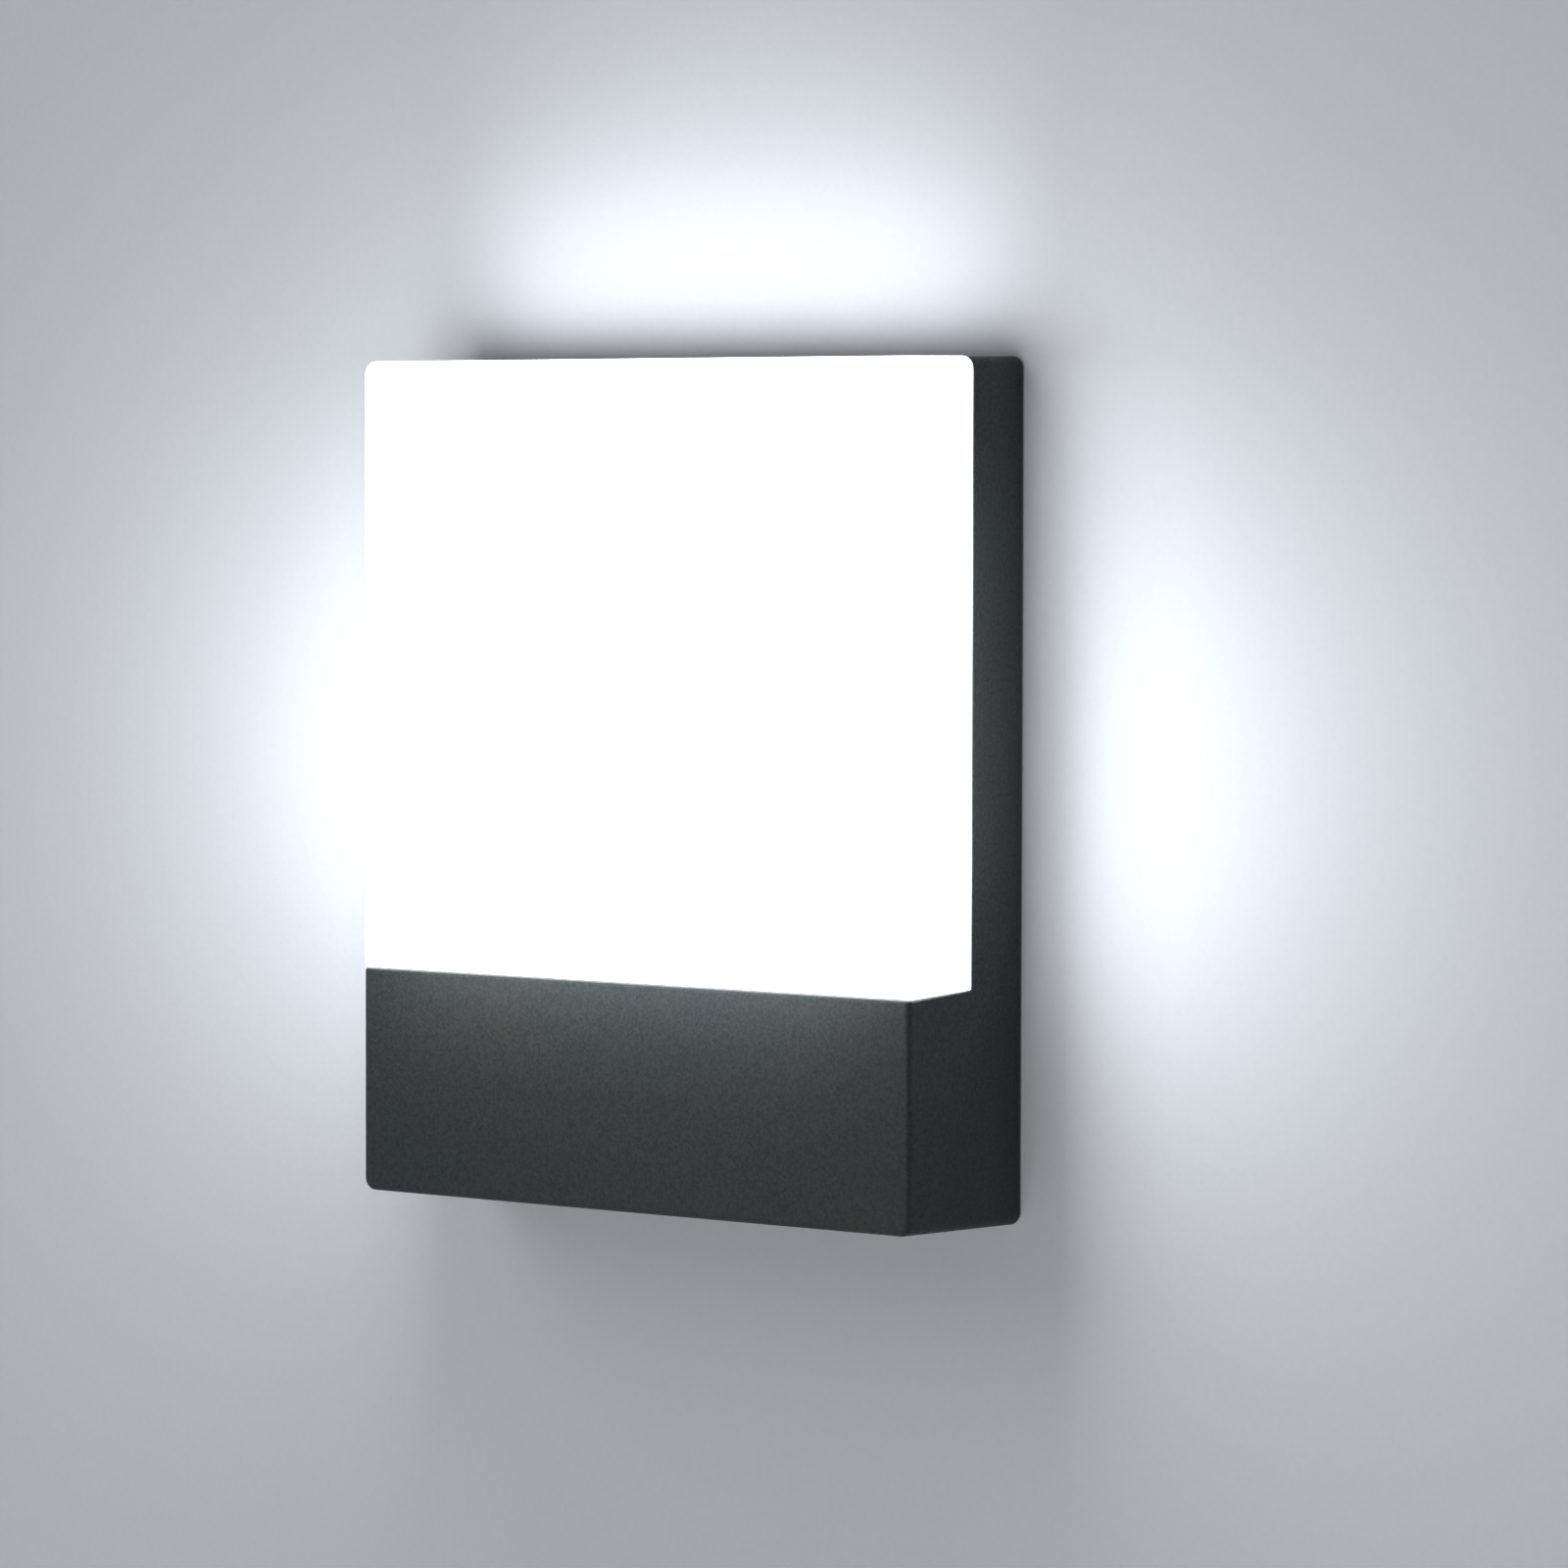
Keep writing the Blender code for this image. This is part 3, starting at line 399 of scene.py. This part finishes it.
def add_piece(name, mesh, body, coats, matrix=None):
    """A piece that rides on a body. coats are the names of its materials."""
    mesh.materials.clear()
    for coat in coats:
        mesh.materials.append(MATERIAL[coat])
    piece = bpy.data.objects.new(name, mesh)
    bpy.context.scene.collection.objects.link(piece)
    if matrix:
        piece.matrix_world = matrix
    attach(piece, body)
    even = piece.modifiers.new("even_normals", "WEIGHTED_NORMAL")
    even.keep_sharp = True
    return piece


def stand_for(node, mesh, matrix=None, coats=None):
    """A fine piece that is shown in place of a CAD node."""
    piece = add_piece(f"{node}_fine", mesh, BODY[node], coats or [SLOT[node]], matrix)
    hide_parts(node)
    return piece


def mesh_from(name, bm):
    bmesh.ops.recalc_face_normals(bm, faces=bm.faces)
    mesh = bpy.data.meshes.new(name)
    bm.to_mesh(mesh)
    bm.free()
    mesh.shade_smooth()
    mesh.set_sharp_from_angle(angle=CREASE)
    return mesh


def cad_copy(node):
    """A CAD node's shape as an editable mesh, with the triangles of each flat face joined up."""
    bm = bmesh.new()
    bm.from_mesh(frame["nodes"][node].data)
    bmesh.ops.remove_doubles(bm, verts=bm.verts, dist=SAME_POINT)
    bmesh.ops.dissolve_limit(bm, angle_limit=FLAT, verts=bm.verts, edges=bm.edges)
    return bm


def sharp_edges(bm):
    return [e for e in bm.edges if len(e.link_faces) == 2 and e.calc_face_angle() > SHARP]


def round_edges(bm, edges, width, segments):
    bmesh.ops.bevel(bm, geom=edges, offset=width, offset_type="OFFSET", segments=segments,
                    profile=0.5, affect="EDGES", clamp_overlap=False)


def soften(node, width, segments):
    """The CAD node's own shape with its sharp edges rounded."""
    bm = cad_copy(node)
    round_edges(bm, sharp_edges(bm), width, segments)
    return stand_for(node, mesh_from(f"{node}_fine", bm))


def skin(bm, rings, hollow=False):
    """Faces through rings of points, capped at both ends, or joined end to start if hollow."""
    rows = [[bm.verts.new(point) for point in points] for points in rings]
    pairs = list(zip(rows, rows[1:]))
    if hollow:
        pairs.append((rows[-1], rows[0]))
    else:
        bm.faces.new(rows[0])
        bm.faces.new(rows[-1])
    for row, after in pairs:
        for i in range(len(row)):
            j = (i + 1) % len(row)
            bm.faces.new((row[i], row[j], after[j], after[i]))


def circle(radius, z, sides=FINE_SIDES):
    angles = [math.tau * i / sides for i in range(sides)]
    return [(radius * math.cos(a), radius * math.sin(a), z) for a in angles]


def slot(radius, stretch, z, upright):
    """A circle pulled apart by stretch each way, sideways or upright."""
    points = []
    for x, y, _ in circle(radius, z):
        if upright:
            points.append((x, y + math.copysign(stretch, y + EASE), z))
        else:
            points.append((x + math.copysign(stretch, x + EASE), y, z))
    return points


def upright_rectangle(left, right, bottom, top, y):
    return [(left, y, bottom), (right, y, bottom), (right, y, top), (left, y, top)]


def moved(rings, place, facing):
    """Rings drawn round Z, turned to look along facing and moved to a place."""
    matrix = aimed(place, facing)
    return [[matrix @ Vector(point) for point in points] for points in rings]


def drilled(bm, tools):
    """The shape with closed tools, each given as its rings, taken out of it."""
    cutter_bm = bmesh.new()
    for rings in tools:
        skin(cutter_bm, rings)
    shape = bpy.data.objects.new("shape", bpy.data.meshes.new("shape"))
    cutter = bpy.data.objects.new("cutter", mesh_from("cutter", cutter_bm))
    bm.to_mesh(shape.data)
    for item in (shape, cutter):
        bpy.context.scene.collection.objects.link(item)
    cut = shape.modifiers.new("cut", "BOOLEAN")
    cut.object = cutter
    evaluated = shape.evaluated_get(bpy.context.evaluated_depsgraph_get())
    bm.clear()
    bm.from_mesh(evaluated.data)
    for item in (shape, cutter):
        bpy.data.objects.remove(item)
    bmesh.ops.dissolve_limit(bm, angle_limit=FLAT, verts=bm.verts, edges=bm.edges)


# ---------------------------------------------------------------- the housing and the diffuser

def counterbores():
    """The round sinkings for the clamp screws' heads, as tools that start just below the underside."""
    radius, depth = COUNTERBORE
    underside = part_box("housing")[0].z
    rings = [circle(radius + EASE, 0), circle(radius + EASE, -depth - MM)]
    tools = []
    for node in ("clamp_screw_left", "clamp_screw_right"):
        x, y, _ = centre_of(node)
        tools.append(moved(rings, (x, y, underside + depth), (0, 0, 1)))
    return tools


def ledge_rim(bm):
    """The housing's edges round the ledge that the diffuser stands on."""
    ledge_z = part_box("diffuser")[0].z
    ledge_faces = set()
    for face in bm.faces:
        level = face.normal.z > 0.99
        if level and abs(face.calc_center_median().z - ledge_z) < 3 * MM:
            ledge_faces.add(face)
    return [e for e in sharp_edges(bm) if e.is_convex and ledge_faces & set(e.link_faces)]


def build_housing():
    """The casting: a soft edge round the ledge, a sharp rear rim, and slightly broken edges elsewhere."""
    bm = cad_copy("housing")
    drilled(bm, counterbores())
    round_edges(bm, ledge_rim(bm), *LEDGE_EDGE)
    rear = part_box("housing")[1].y - 0.05 * MM
    others = [e for e in sharp_edges(bm) if any(v.co.y <= rear for v in e.verts)]
    round_edges(bm, others, *HOUSING_EDGE)
    stand_for("housing", mesh_from("housing_fine", bm))


# ---------------------------------------------------------------- the bracket and the cable's inlet

def build_bracket():
    """The folded plate, with truly round ends to its slots and a round cable hole."""
    bm = cad_copy("wall_bracket")
    ends = (-CUT_REACH, CUT_REACH)
    hole = [circle(CABLE_HOLE + EASE, end) for end in ends]
    x, _, z = centre_of("cable_grommet")
    tools = [moved(hole, (x, 0, z), (0, 1, 0))]
    radius, stretch = WALL_SLOT
    for x in (-WALL_SLOT_X, WALL_SLOT_X):
        for z, upright in ((UPPER_SLOT_Z, False), (LOWER_SLOT_Z, True)):
            rings = [slot(radius + EASE, stretch, end, upright) for end in ends]
            tools.append(moved(rings, (x, 0, z), (0, 1, 0)))
    drilled(bm, tools)
    round_edges(bm, sharp_edges(bm), *BRACKET_EDGE)
    stand_for("wall_bracket", mesh_from("wall_bracket_fine", bm))


def build_grommet():
    """Two soft lips that grip the cover's edge, a sunk ring in the rear one, and a tapered collar."""
    low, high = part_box("cable_grommet")
    flange, length = (high.x - low.x) / 2, high.y - low.y
    bore, neck, lip = 4.5 * MM, 7.7 * MM, 2.0 * MM
    sunk_inner, sunk_outer, sunk, slope = 6.2 * MM, 7.8 * MM, 0.5 * MM, 0.4 * MM
    front_lip = lip + 2.1 * MM
    collar, collar_end = bore + 2 * MM, bore + 1.1 * MM
    profile = [(bore, 0), (sunk_inner, 0), (sunk_inner + slope, sunk)]
    profile += [(sunk_outer - slope, sunk), (sunk_outer, 0), (flange, 0)]
    profile += [(flange, lip), (neck, lip), (neck, front_lip), (flange, front_lip)]
    profile += [(flange, front_lip + lip), (collar, front_lip + lip)]
    profile += [(collar_end, length), (bore, length)]
    x, _, z = centre_of("cable_grommet")
    rings = [circle(radius, along) for radius, along in profile]
    bm = bmesh.new()
    skin(bm, moved(rings, (x, high.y, z), (0, -1, 0)), hollow=True)
    round_edges(bm, sharp_edges(bm), *GROMMET_EDGE)
    stand_for("cable_grommet", mesh_from("cable_grommet_fine", bm))


# ---------------------------------------------------------------- the light engine

def led_mesh(half, height):
    """A surface-mount LED: a white frame with a sunk, domed phosphor in its middle."""
    squareness = 10
    rim, well = (0.78, 0.99), (0.7, 0.62)
    dome = ((0.5, 0.72), (0.25, 0.78))

    def square(half_side, z):
        points = []
        for x, y, _ in circle(1, z, LED_SIDES):
            reach = (abs(x) ** squareness + abs(y) ** squareness) ** (1 / squareness)
            points.append((x * half_side / reach, y * half_side / reach, z))
        return points

    rings = [square(half, 0), square(half, 0.7 * height), square(0.95 * half, height)]
    for radius, z in (rim, well, *dome):
        rings.append(circle(radius * half, z * height, LED_SIDES))
    bm = bmesh.new()
    skin(bm, rings)
    for face in bm.faces:
        middle = face.calc_center_median()
        if middle.z > 0.3 * height and middle.xy.length < 0.69 * half:
            face.material_index = 1
    return mesh_from("led", bm)


def build_leds():
    leds = [node for node in frame["nodes"] if node.startswith("led_") and node[4:].isdigit()]
    low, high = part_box(leds[0])
    mesh = led_mesh((high.x - low.x) / 2, high.y - low.y)
    for node in leds:
        x, _, z = centre_of(node)
        matrix = aimed((x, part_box(node)[1].y, z), (0, -1, 0))
        stand_for(node, mesh, matrix, ["white_plastic", "led_phosphor"])
    return leds


def raised_block(bm, low, high):
    """A thin block with chamfered front edges, looking towards -Y."""
    chamfer = 0.3 * (high[1] - low[1])
    rings = []
    for y, inset in ((high[1], 0), (low[1] + chamfer, 0), (low[1], chamfer)):
        left, right = low[0] + inset, high[0] - inset
        bottom, top = low[2] + inset, high[2] - inset
        rings.append(upright_rectangle(left, right, bottom, top, y))
    first = len(bm.faces)
    skin(bm, rings)
    bm.faces.ensure_lookup_table()
    return bm.faces[first:]


def build_led_board(leds):
    """The board, with a solder pad at each side of every LED and tracks that join the pads in rows."""
    bm = cad_copy("led_board")
    round_edges(bm, sharp_edges(bm), *LED_BOARD_EDGE)
    board_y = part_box("led_board")[0].y
    pad_half, pad_inset, pad_thick = 0.9 * MM, 0.3 * MM, 0.12 * MM
    track_half, track_inset, track_thick = 0.7 * MM, 1 * MM, 0.05 * MM
    rows = {}
    for node in leds:
        low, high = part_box(node)
        for x in (low.x, high.x):
            pad_low = (x - pad_half, board_y - pad_thick, low.z + pad_inset)
            pad_high = (x + pad_half, board_y, high.z - pad_inset)
            for face in raised_block(bm, pad_low, pad_high):
                face.material_index = 1
        rows.setdefault(round((low.z + high.z) / 2, 4), []).append((low.x, high.x))
    for z, spans in rows.items():
        spans.sort()
        for (_, start), (end, _) in zip(spans, spans[1:]):
            track_low = (start + track_inset, board_y - track_thick, z - track_half)
            track_high = (end - track_inset, board_y, z + track_half)
            raised_block(bm, track_low, track_high)
    stand_for("led_board", mesh_from("led_board_fine", bm), coats=["white_board", "solder"])


def build_driver_board():
    """The driver's board. Its parts stand out towards the wall, each in its own plastic."""
    bm = cad_copy("driver_board")
    round_edges(bm, sharp_edges(bm), *DRIVER_BOARD_EDGE)
    low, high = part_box("driver_board")
    board_top = low.y + 1.7 * MM
    coats = ["green_board", "black_insulation", "white_plastic", "blue_insulation"]
    for face in bm.faces:
        middle = face.calc_center_median()
        if middle.y > board_top:
            along = (middle.x - low.x) / (high.x - low.x)
            face.material_index = 1 + sum(along >= end for end in DRIVER_PARTS)
    stand_for("driver_board", mesh_from("driver_board_fine", bm), coats=coats)


# ---------------------------------------------------------------- screws

def screw_mesh(name, sizes, length):
    """A button-headed screw with a hexagon socket and a real thread.

    It points down, with its origin under the head.
    """
    head_radius, head_height, shank, pitch = sizes
    socket = 0.42 * head_radius
    floor = 0.35 * head_height
    angles = [math.tau * i / ROUND_SIDES for i in range(ROUND_SIDES)]

    def hexagon(z, radius):
        points = []
        for a in angles:
            from_middle = (a + math.radians(30)) % math.radians(60) - math.radians(30)
            reach = radius * math.cos(math.radians(30)) / math.cos(from_middle)
            points.append((reach * math.cos(a), reach * math.sin(a), z))
        return points

    rings = [hexagon(floor, socket * 0.97), hexagon(head_height * 0.9, socket)]
    rings.append(circle(socket * 1.12, head_height, ROUND_SIDES))
    dome_start, dome_steps, wall_share = 24, 7, 0.3
    for step in range(dome_steps + 1):
        angle = math.radians(dome_start + (90 - dome_start) * step / dome_steps)
        rise = math.cos(angle) / math.cos(math.radians(dome_start))
        height = head_height * (wall_share + (1 - wall_share) * rise)
        rings.append(circle(head_radius * math.sin(angle), height, ROUND_SIDES))
    rings.append(circle(head_radius, 0.1 * MM, ROUND_SIDES))
    rings.append(circle(head_radius - 0.1 * MM, 0, ROUND_SIDES))
    rings.append(circle(shank * 0.98, 0, ROUND_SIDES))

    thread_depth = 0.3 * pitch
    rows_per_turn = 5
    rows = int(length / pitch * rows_per_turn)
    for row in range(1, rows + 1):
        z = -length * row / rows
        taper = min(1.0, (rows - row) / (1.5 * rows_per_turn))
        points = []
        for a in angles:
            phase = (-z / pitch + a / math.tau) % 1.0
            crest = 1 - abs(2 * phase - 1)
            radius = shank - thread_depth * (1 - crest * taper)
            points.append((radius * math.cos(a), radius * math.sin(a), z))
        rings.append(points)
    bm = bmesh.new()
    skin(bm, rings)
    return mesh_from(name, bm)


def put_screw(node, mesh, head_height, facing, turn):
    """Puts a screw where its CAD node is. facing is the direction that its head looks in."""
    low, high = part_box(node)
    axis = Vector(facing)
    end = abs(axis.dot((high - low) / 2))
    place = (low + high) / 2 + axis * (end - head_height)
    stand_for(node, mesh, aimed(place, axis) @ Matrix.Rotation(turn, 4, "Z"))


def screw_length(node, sizes, direction):
    low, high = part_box(node)
    return abs(Vector(direction).dot(high - low)) - sizes[1]


def build_screws():
    back, front, down = (0, 1, 0), (0, -1, 0), (0, 0, -1)
    groups = (
        ([f"diffuser_screw_{i}" for i in range(1, 7)], SMALL_SCREW, back),
        ([f"rear_cover_screw_{i}" for i in range(1, 7)], SMALL_SCREW, back),
        ([f"led_board_screw_{i}" for i in range(1, 5)], SMALL_SCREW, front),
        ([f"driver_screw_{i}" for i in range(1, 3)], SMALL_SCREW, back),
        (["terminal_block_screw"], SMALL_SCREW, back),
        (["earth_screw"], SMALL_SCREW, back),
        ([f"terminal_screw_{i}" for i in range(1, 7)], TERMINAL_SCREW, back),
        (["clamp_screw_left", "clamp_screw_right"], CLAMP_SCREW, down),
    )
    step = math.radians(47)
    count = 0
    for nodes, sizes, facing in groups:
        mesh = screw_mesh(nodes[0], sizes, screw_length(nodes[0], sizes, facing))
        for node in nodes:
            put_screw(node, mesh, sizes[1], facing, step * count)
            count += 1


# ---------------------------------------------------------------- the carried-over nodes

def dress_cad_nodes():
    """The CAD nodes that stay in view get their slot's material."""
    for name, node in frame["nodes"].items():
        if node.hide_render:
            continue
        node.data.materials.clear()
        node.data.materials.append(MATERIAL[SLOT[name]])


# ---------------------------------------------------------------- stage, light and camera

def stage_plane(name, corners, material, faces=((0, 1, 2, 3),)):
    mesh = bpy.data.meshes.new(name)
    mesh.from_pydata(corners, [], faces)
    mesh.materials.append(material)
    plane = bpy.data.objects.new(name, mesh)
    bpy.context.scene.collection.objects.link(plane)
    plane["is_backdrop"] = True
    return plane


def plaster():
    """Pale fine plaster. Its back lets everything through, so the lamp can be seen from behind."""
    wall = Finish("plaster", (0.575, 0.583, 0.625), 0.85)
    colour = wall.vary_colour(wall.noise(300 * MM, 3), (0.565, 0.573, 0.614), (0.585, 0.593, 0.636))
    wall.tint(colour, wall.noise(2 * MM, 3), 0.012)
    wall.bump(wall.noise(9 * MM, 3, 0.6), 0.05 * MM)
    wall.bump(wall.noise(1.5 * MM, 2), 0.05 * MM)
    sides = wall.node("ShaderNodeNewGeometry")
    clear = wall.node("ShaderNodeBsdfTransparent")
    mix = wall.node("ShaderNodeMixShader")
    wall.links.new(sides.outputs["Backfacing"], mix.inputs["Fac"])
    wall.links.new(wall.shader.outputs["BSDF"], mix.inputs[1])
    wall.links.new(clear.outputs["BSDF"], mix.inputs[2])
    wall.links.new(mix.outputs["Shader"], wall.nodes["Material Output"].inputs["Surface"])
    return wall.material


def build_stage():
    """A plain wall that the lamp hangs on, open only behind the bracket, and a plain floor far below."""
    wall = upright_rectangle(-WALL_REACH, WALL_REACH, FLOOR_Z, WALL_REACH, WALL_BEHIND)
    low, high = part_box("wall_bracket")
    left, right = low.x + WALL_OVERLAP, high.x - WALL_OVERLAP
    bottom, top = low.z + WALL_OVERLAP, high.z - WALL_OVERLAP
    wall += upright_rectangle(left, right, bottom, top, WALL_BEHIND)
    faces = [(i, (i + 1) % 4, (i + 1) % 4 + 4, i + 4) for i in range(4)]
    plaster_wall = stage_plane("wall", wall, plaster(), faces)
    ground = Finish("pale_floor", (0.6, 0.61, 0.63), 0.7)
    ground.vary_colour(ground.noise(0.4, 2), (0.59, 0.6, 0.62), (0.61, 0.62, 0.64))
    signs = ((-1, -1), (1, -1), (1, 1), (-1, 1))
    floor = [(x * FLOOR_REACH, y * FLOOR_REACH, FLOOR_Z) for x, y in signs]
    pale_floor = stage_plane("floor", floor, ground.material)
    pale_floor.visible_diffuse = False
    return plaster_wall, pale_floor


def area_light(name, place, size, power, target=(0, 0, 0)):
    """A soft rectangular light that the camera doesn't see."""
    data = bpy.data.lights.new(name, "AREA")
    data.shape = "RECTANGLE"
    data.size, data.size_y = size
    data.energy = power
    light = bpy.data.objects.new(name, data)
    bpy.context.scene.collection.objects.link(light)
    light.location = place
    light.rotation_euler = (Vector(target) - Vector(place)).to_track_quat("-Z", "Y").to_euler()
    light.visible_camera = False
    return light


def collection_of(name, objects):
    made = bpy.data.collections.new(name)
    for item in objects:
        made.objects.link(item)
    return made


def lit_only(light, receivers, blockers):
    light.light_linking.receiver_collection = receivers
    light.light_linking.blocker_collection = blockers


def glow_light(name, place, size, power, facing, receivers, blockers):
    """A light in the diffuser's own colour, looking along facing. It moves with the lamp."""
    light = area_light(name, place, size, power, Vector(place) + Vector(facing))
    light.data.color = GLOW
    light.parent = frame["bodies"][BODY["diffuser"]]
    lit_only(light, receivers, blockers)


def build_glow(wall_only, lamp):
    """The lamp's spill: wide on the wall at both sides, close above it, and over the housing."""
    low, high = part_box("diffuser")
    front_y, middle_z = low.y, (low.z + high.z) / 2
    housing_only = collection_of("housing_only", [bpy.data.objects["housing_fine"]])
    on_wall = (wall_only, lamp)
    on_housing = (housing_only, housing_only)
    for name, side in (("left", -1), ("right", 1)):
        place = (side * (high.x - 23 * MM), front_y - 50 * MM, middle_z - 30 * MM)
        glow_light(f"spill_{name}", place, *SPILL, (side, 0, 0), *on_wall)
        place = (side * (high.x + 5 * MM), front_y + 8 * MM, middle_z - 6 * MM)
        glow_light(f"sheen_{name}", place, *SHEEN, (-side * 0.15, 1, 0), *on_housing)
    place = (0, front_y - 70 * MM, high.z - 15 * MM)
    glow_light("spill_above", place, *SPILL_ABOVE, (0, 0, 1), *on_wall)
    place = (0, front_y + 14 * MM, high.z + 1 * MM)
    glow_light("crown", place, *CROWN, (0, 0, 1), *on_wall)
    place = (-8 * MM, front_y - 30 * MM, low.z + 10 * MM)
    glow_light("wash", place, *WASH, (0, 1, 0), *on_housing)


def build_sky():
    """A dim even sky in front of the wall, brighter behind it and where it is the plain background."""
    world = bpy.data.worlds.new("world")
    bpy.context.scene.world = world
    world.use_nodes = True
    tree = world.node_tree
    sky = tree.nodes["Background"]
    sky.inputs["Color"].default_value = SKY_COLOUR
    looking = tree.nodes.new("ShaderNodeTexCoord")
    direction = tree.nodes.new("ShaderNodeSeparateXYZ")
    tree.links.new(looking.outputs["Generated"], direction.inputs["Vector"])
    behind = tree.nodes.new("ShaderNodeMapRange")
    behind.inputs["From Min"].default_value = -0.1
    behind.inputs["From Max"].default_value = 0.3
    behind.inputs["To Min"].default_value = SKY_FRONT
    behind.inputs["To Max"].default_value = SKY_BEHIND
    tree.links.new(direction.outputs["Y"], behind.inputs["Value"])
    seen = tree.nodes.new("ShaderNodeLightPath")
    either = tree.nodes.new("ShaderNodeMix")
    either.inputs["B"].default_value = SKY_SEEN
    tree.links.new(seen.outputs["Is Camera Ray"], either.inputs["Factor"])
    tree.links.new(behind.outputs["Result"], either.inputs["A"])
    tree.links.new(either.outputs["Result"], sky.inputs["Strength"])


def build_lights(wall, floor):
    """Soft daylight from the front, the lamp's glow, and a light for the views from behind."""
    build_sky()
    area_light("key", *KEY)
    lamp = collection_of("lamp_pieces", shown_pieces())
    wall_only = collection_of("wall_only", [wall])
    lit_only(area_light("wall_fill", *WALL_FILL), wall_only, lamp)
    lit_only(area_light("lamp_fill", *LAMP_FILL), lamp, lamp)
    build_glow(wall_only, lamp)
    sun = bpy.data.objects.new("floor_light", bpy.data.lights.new("floor_light", "SUN"))
    sun.data.energy = FLOOR_SUN
    bpy.context.scene.collection.objects.link(sun)
    floor_only = collection_of("floor_only", [floor])
    lit_only(sun, floor_only, floor_only)
    lit_only(area_light("behind", *BACK_FILL), lamp, lamp)


def build_camera():
    data = bpy.data.cameras.new("camera")
    data.sensor_width = 36
    data.lens = CAMERA_LENS
    data.clip_start, data.clip_end = 0.05, 60
    camera = bpy.data.objects.new("camera", data)
    bpy.context.scene.collection.objects.link(camera)
    turn = Matrix.Rotation(CAMERA_YAW, 4, "Z")
    tilt = Matrix.Rotation(math.pi / 2 + CAMERA_PITCH, 4, "X")
    roll = Matrix.Rotation(CAMERA_ROLL, 4, "Z")
    camera.matrix_world = Matrix.Translation(CAMERA_PLACE) @ turn @ tilt @ roll
    bpy.context.scene.camera = camera


build_camera()
build_housing()
soften("diffuser", *DIFFUSER_EDGE)
build_bracket()
build_grommet()
build_led_board(build_leds())
build_driver_board()
for node in ("rear_cover", "driver_case", "driver_lid", "terminal_block", "earth_terminal"):
    soften(node, *SHEET_EDGE)
for node in ("clamp_nut_left", "clamp_nut_right", "rear_cover_seal", "diffuser_seal"):
    soften(node, *SMALL_PART_EDGE)
build_screws()
dress_cad_nodes()
build_lights(*build_stage())

bpy.context.scene.view_settings.view_transform = "Standard"
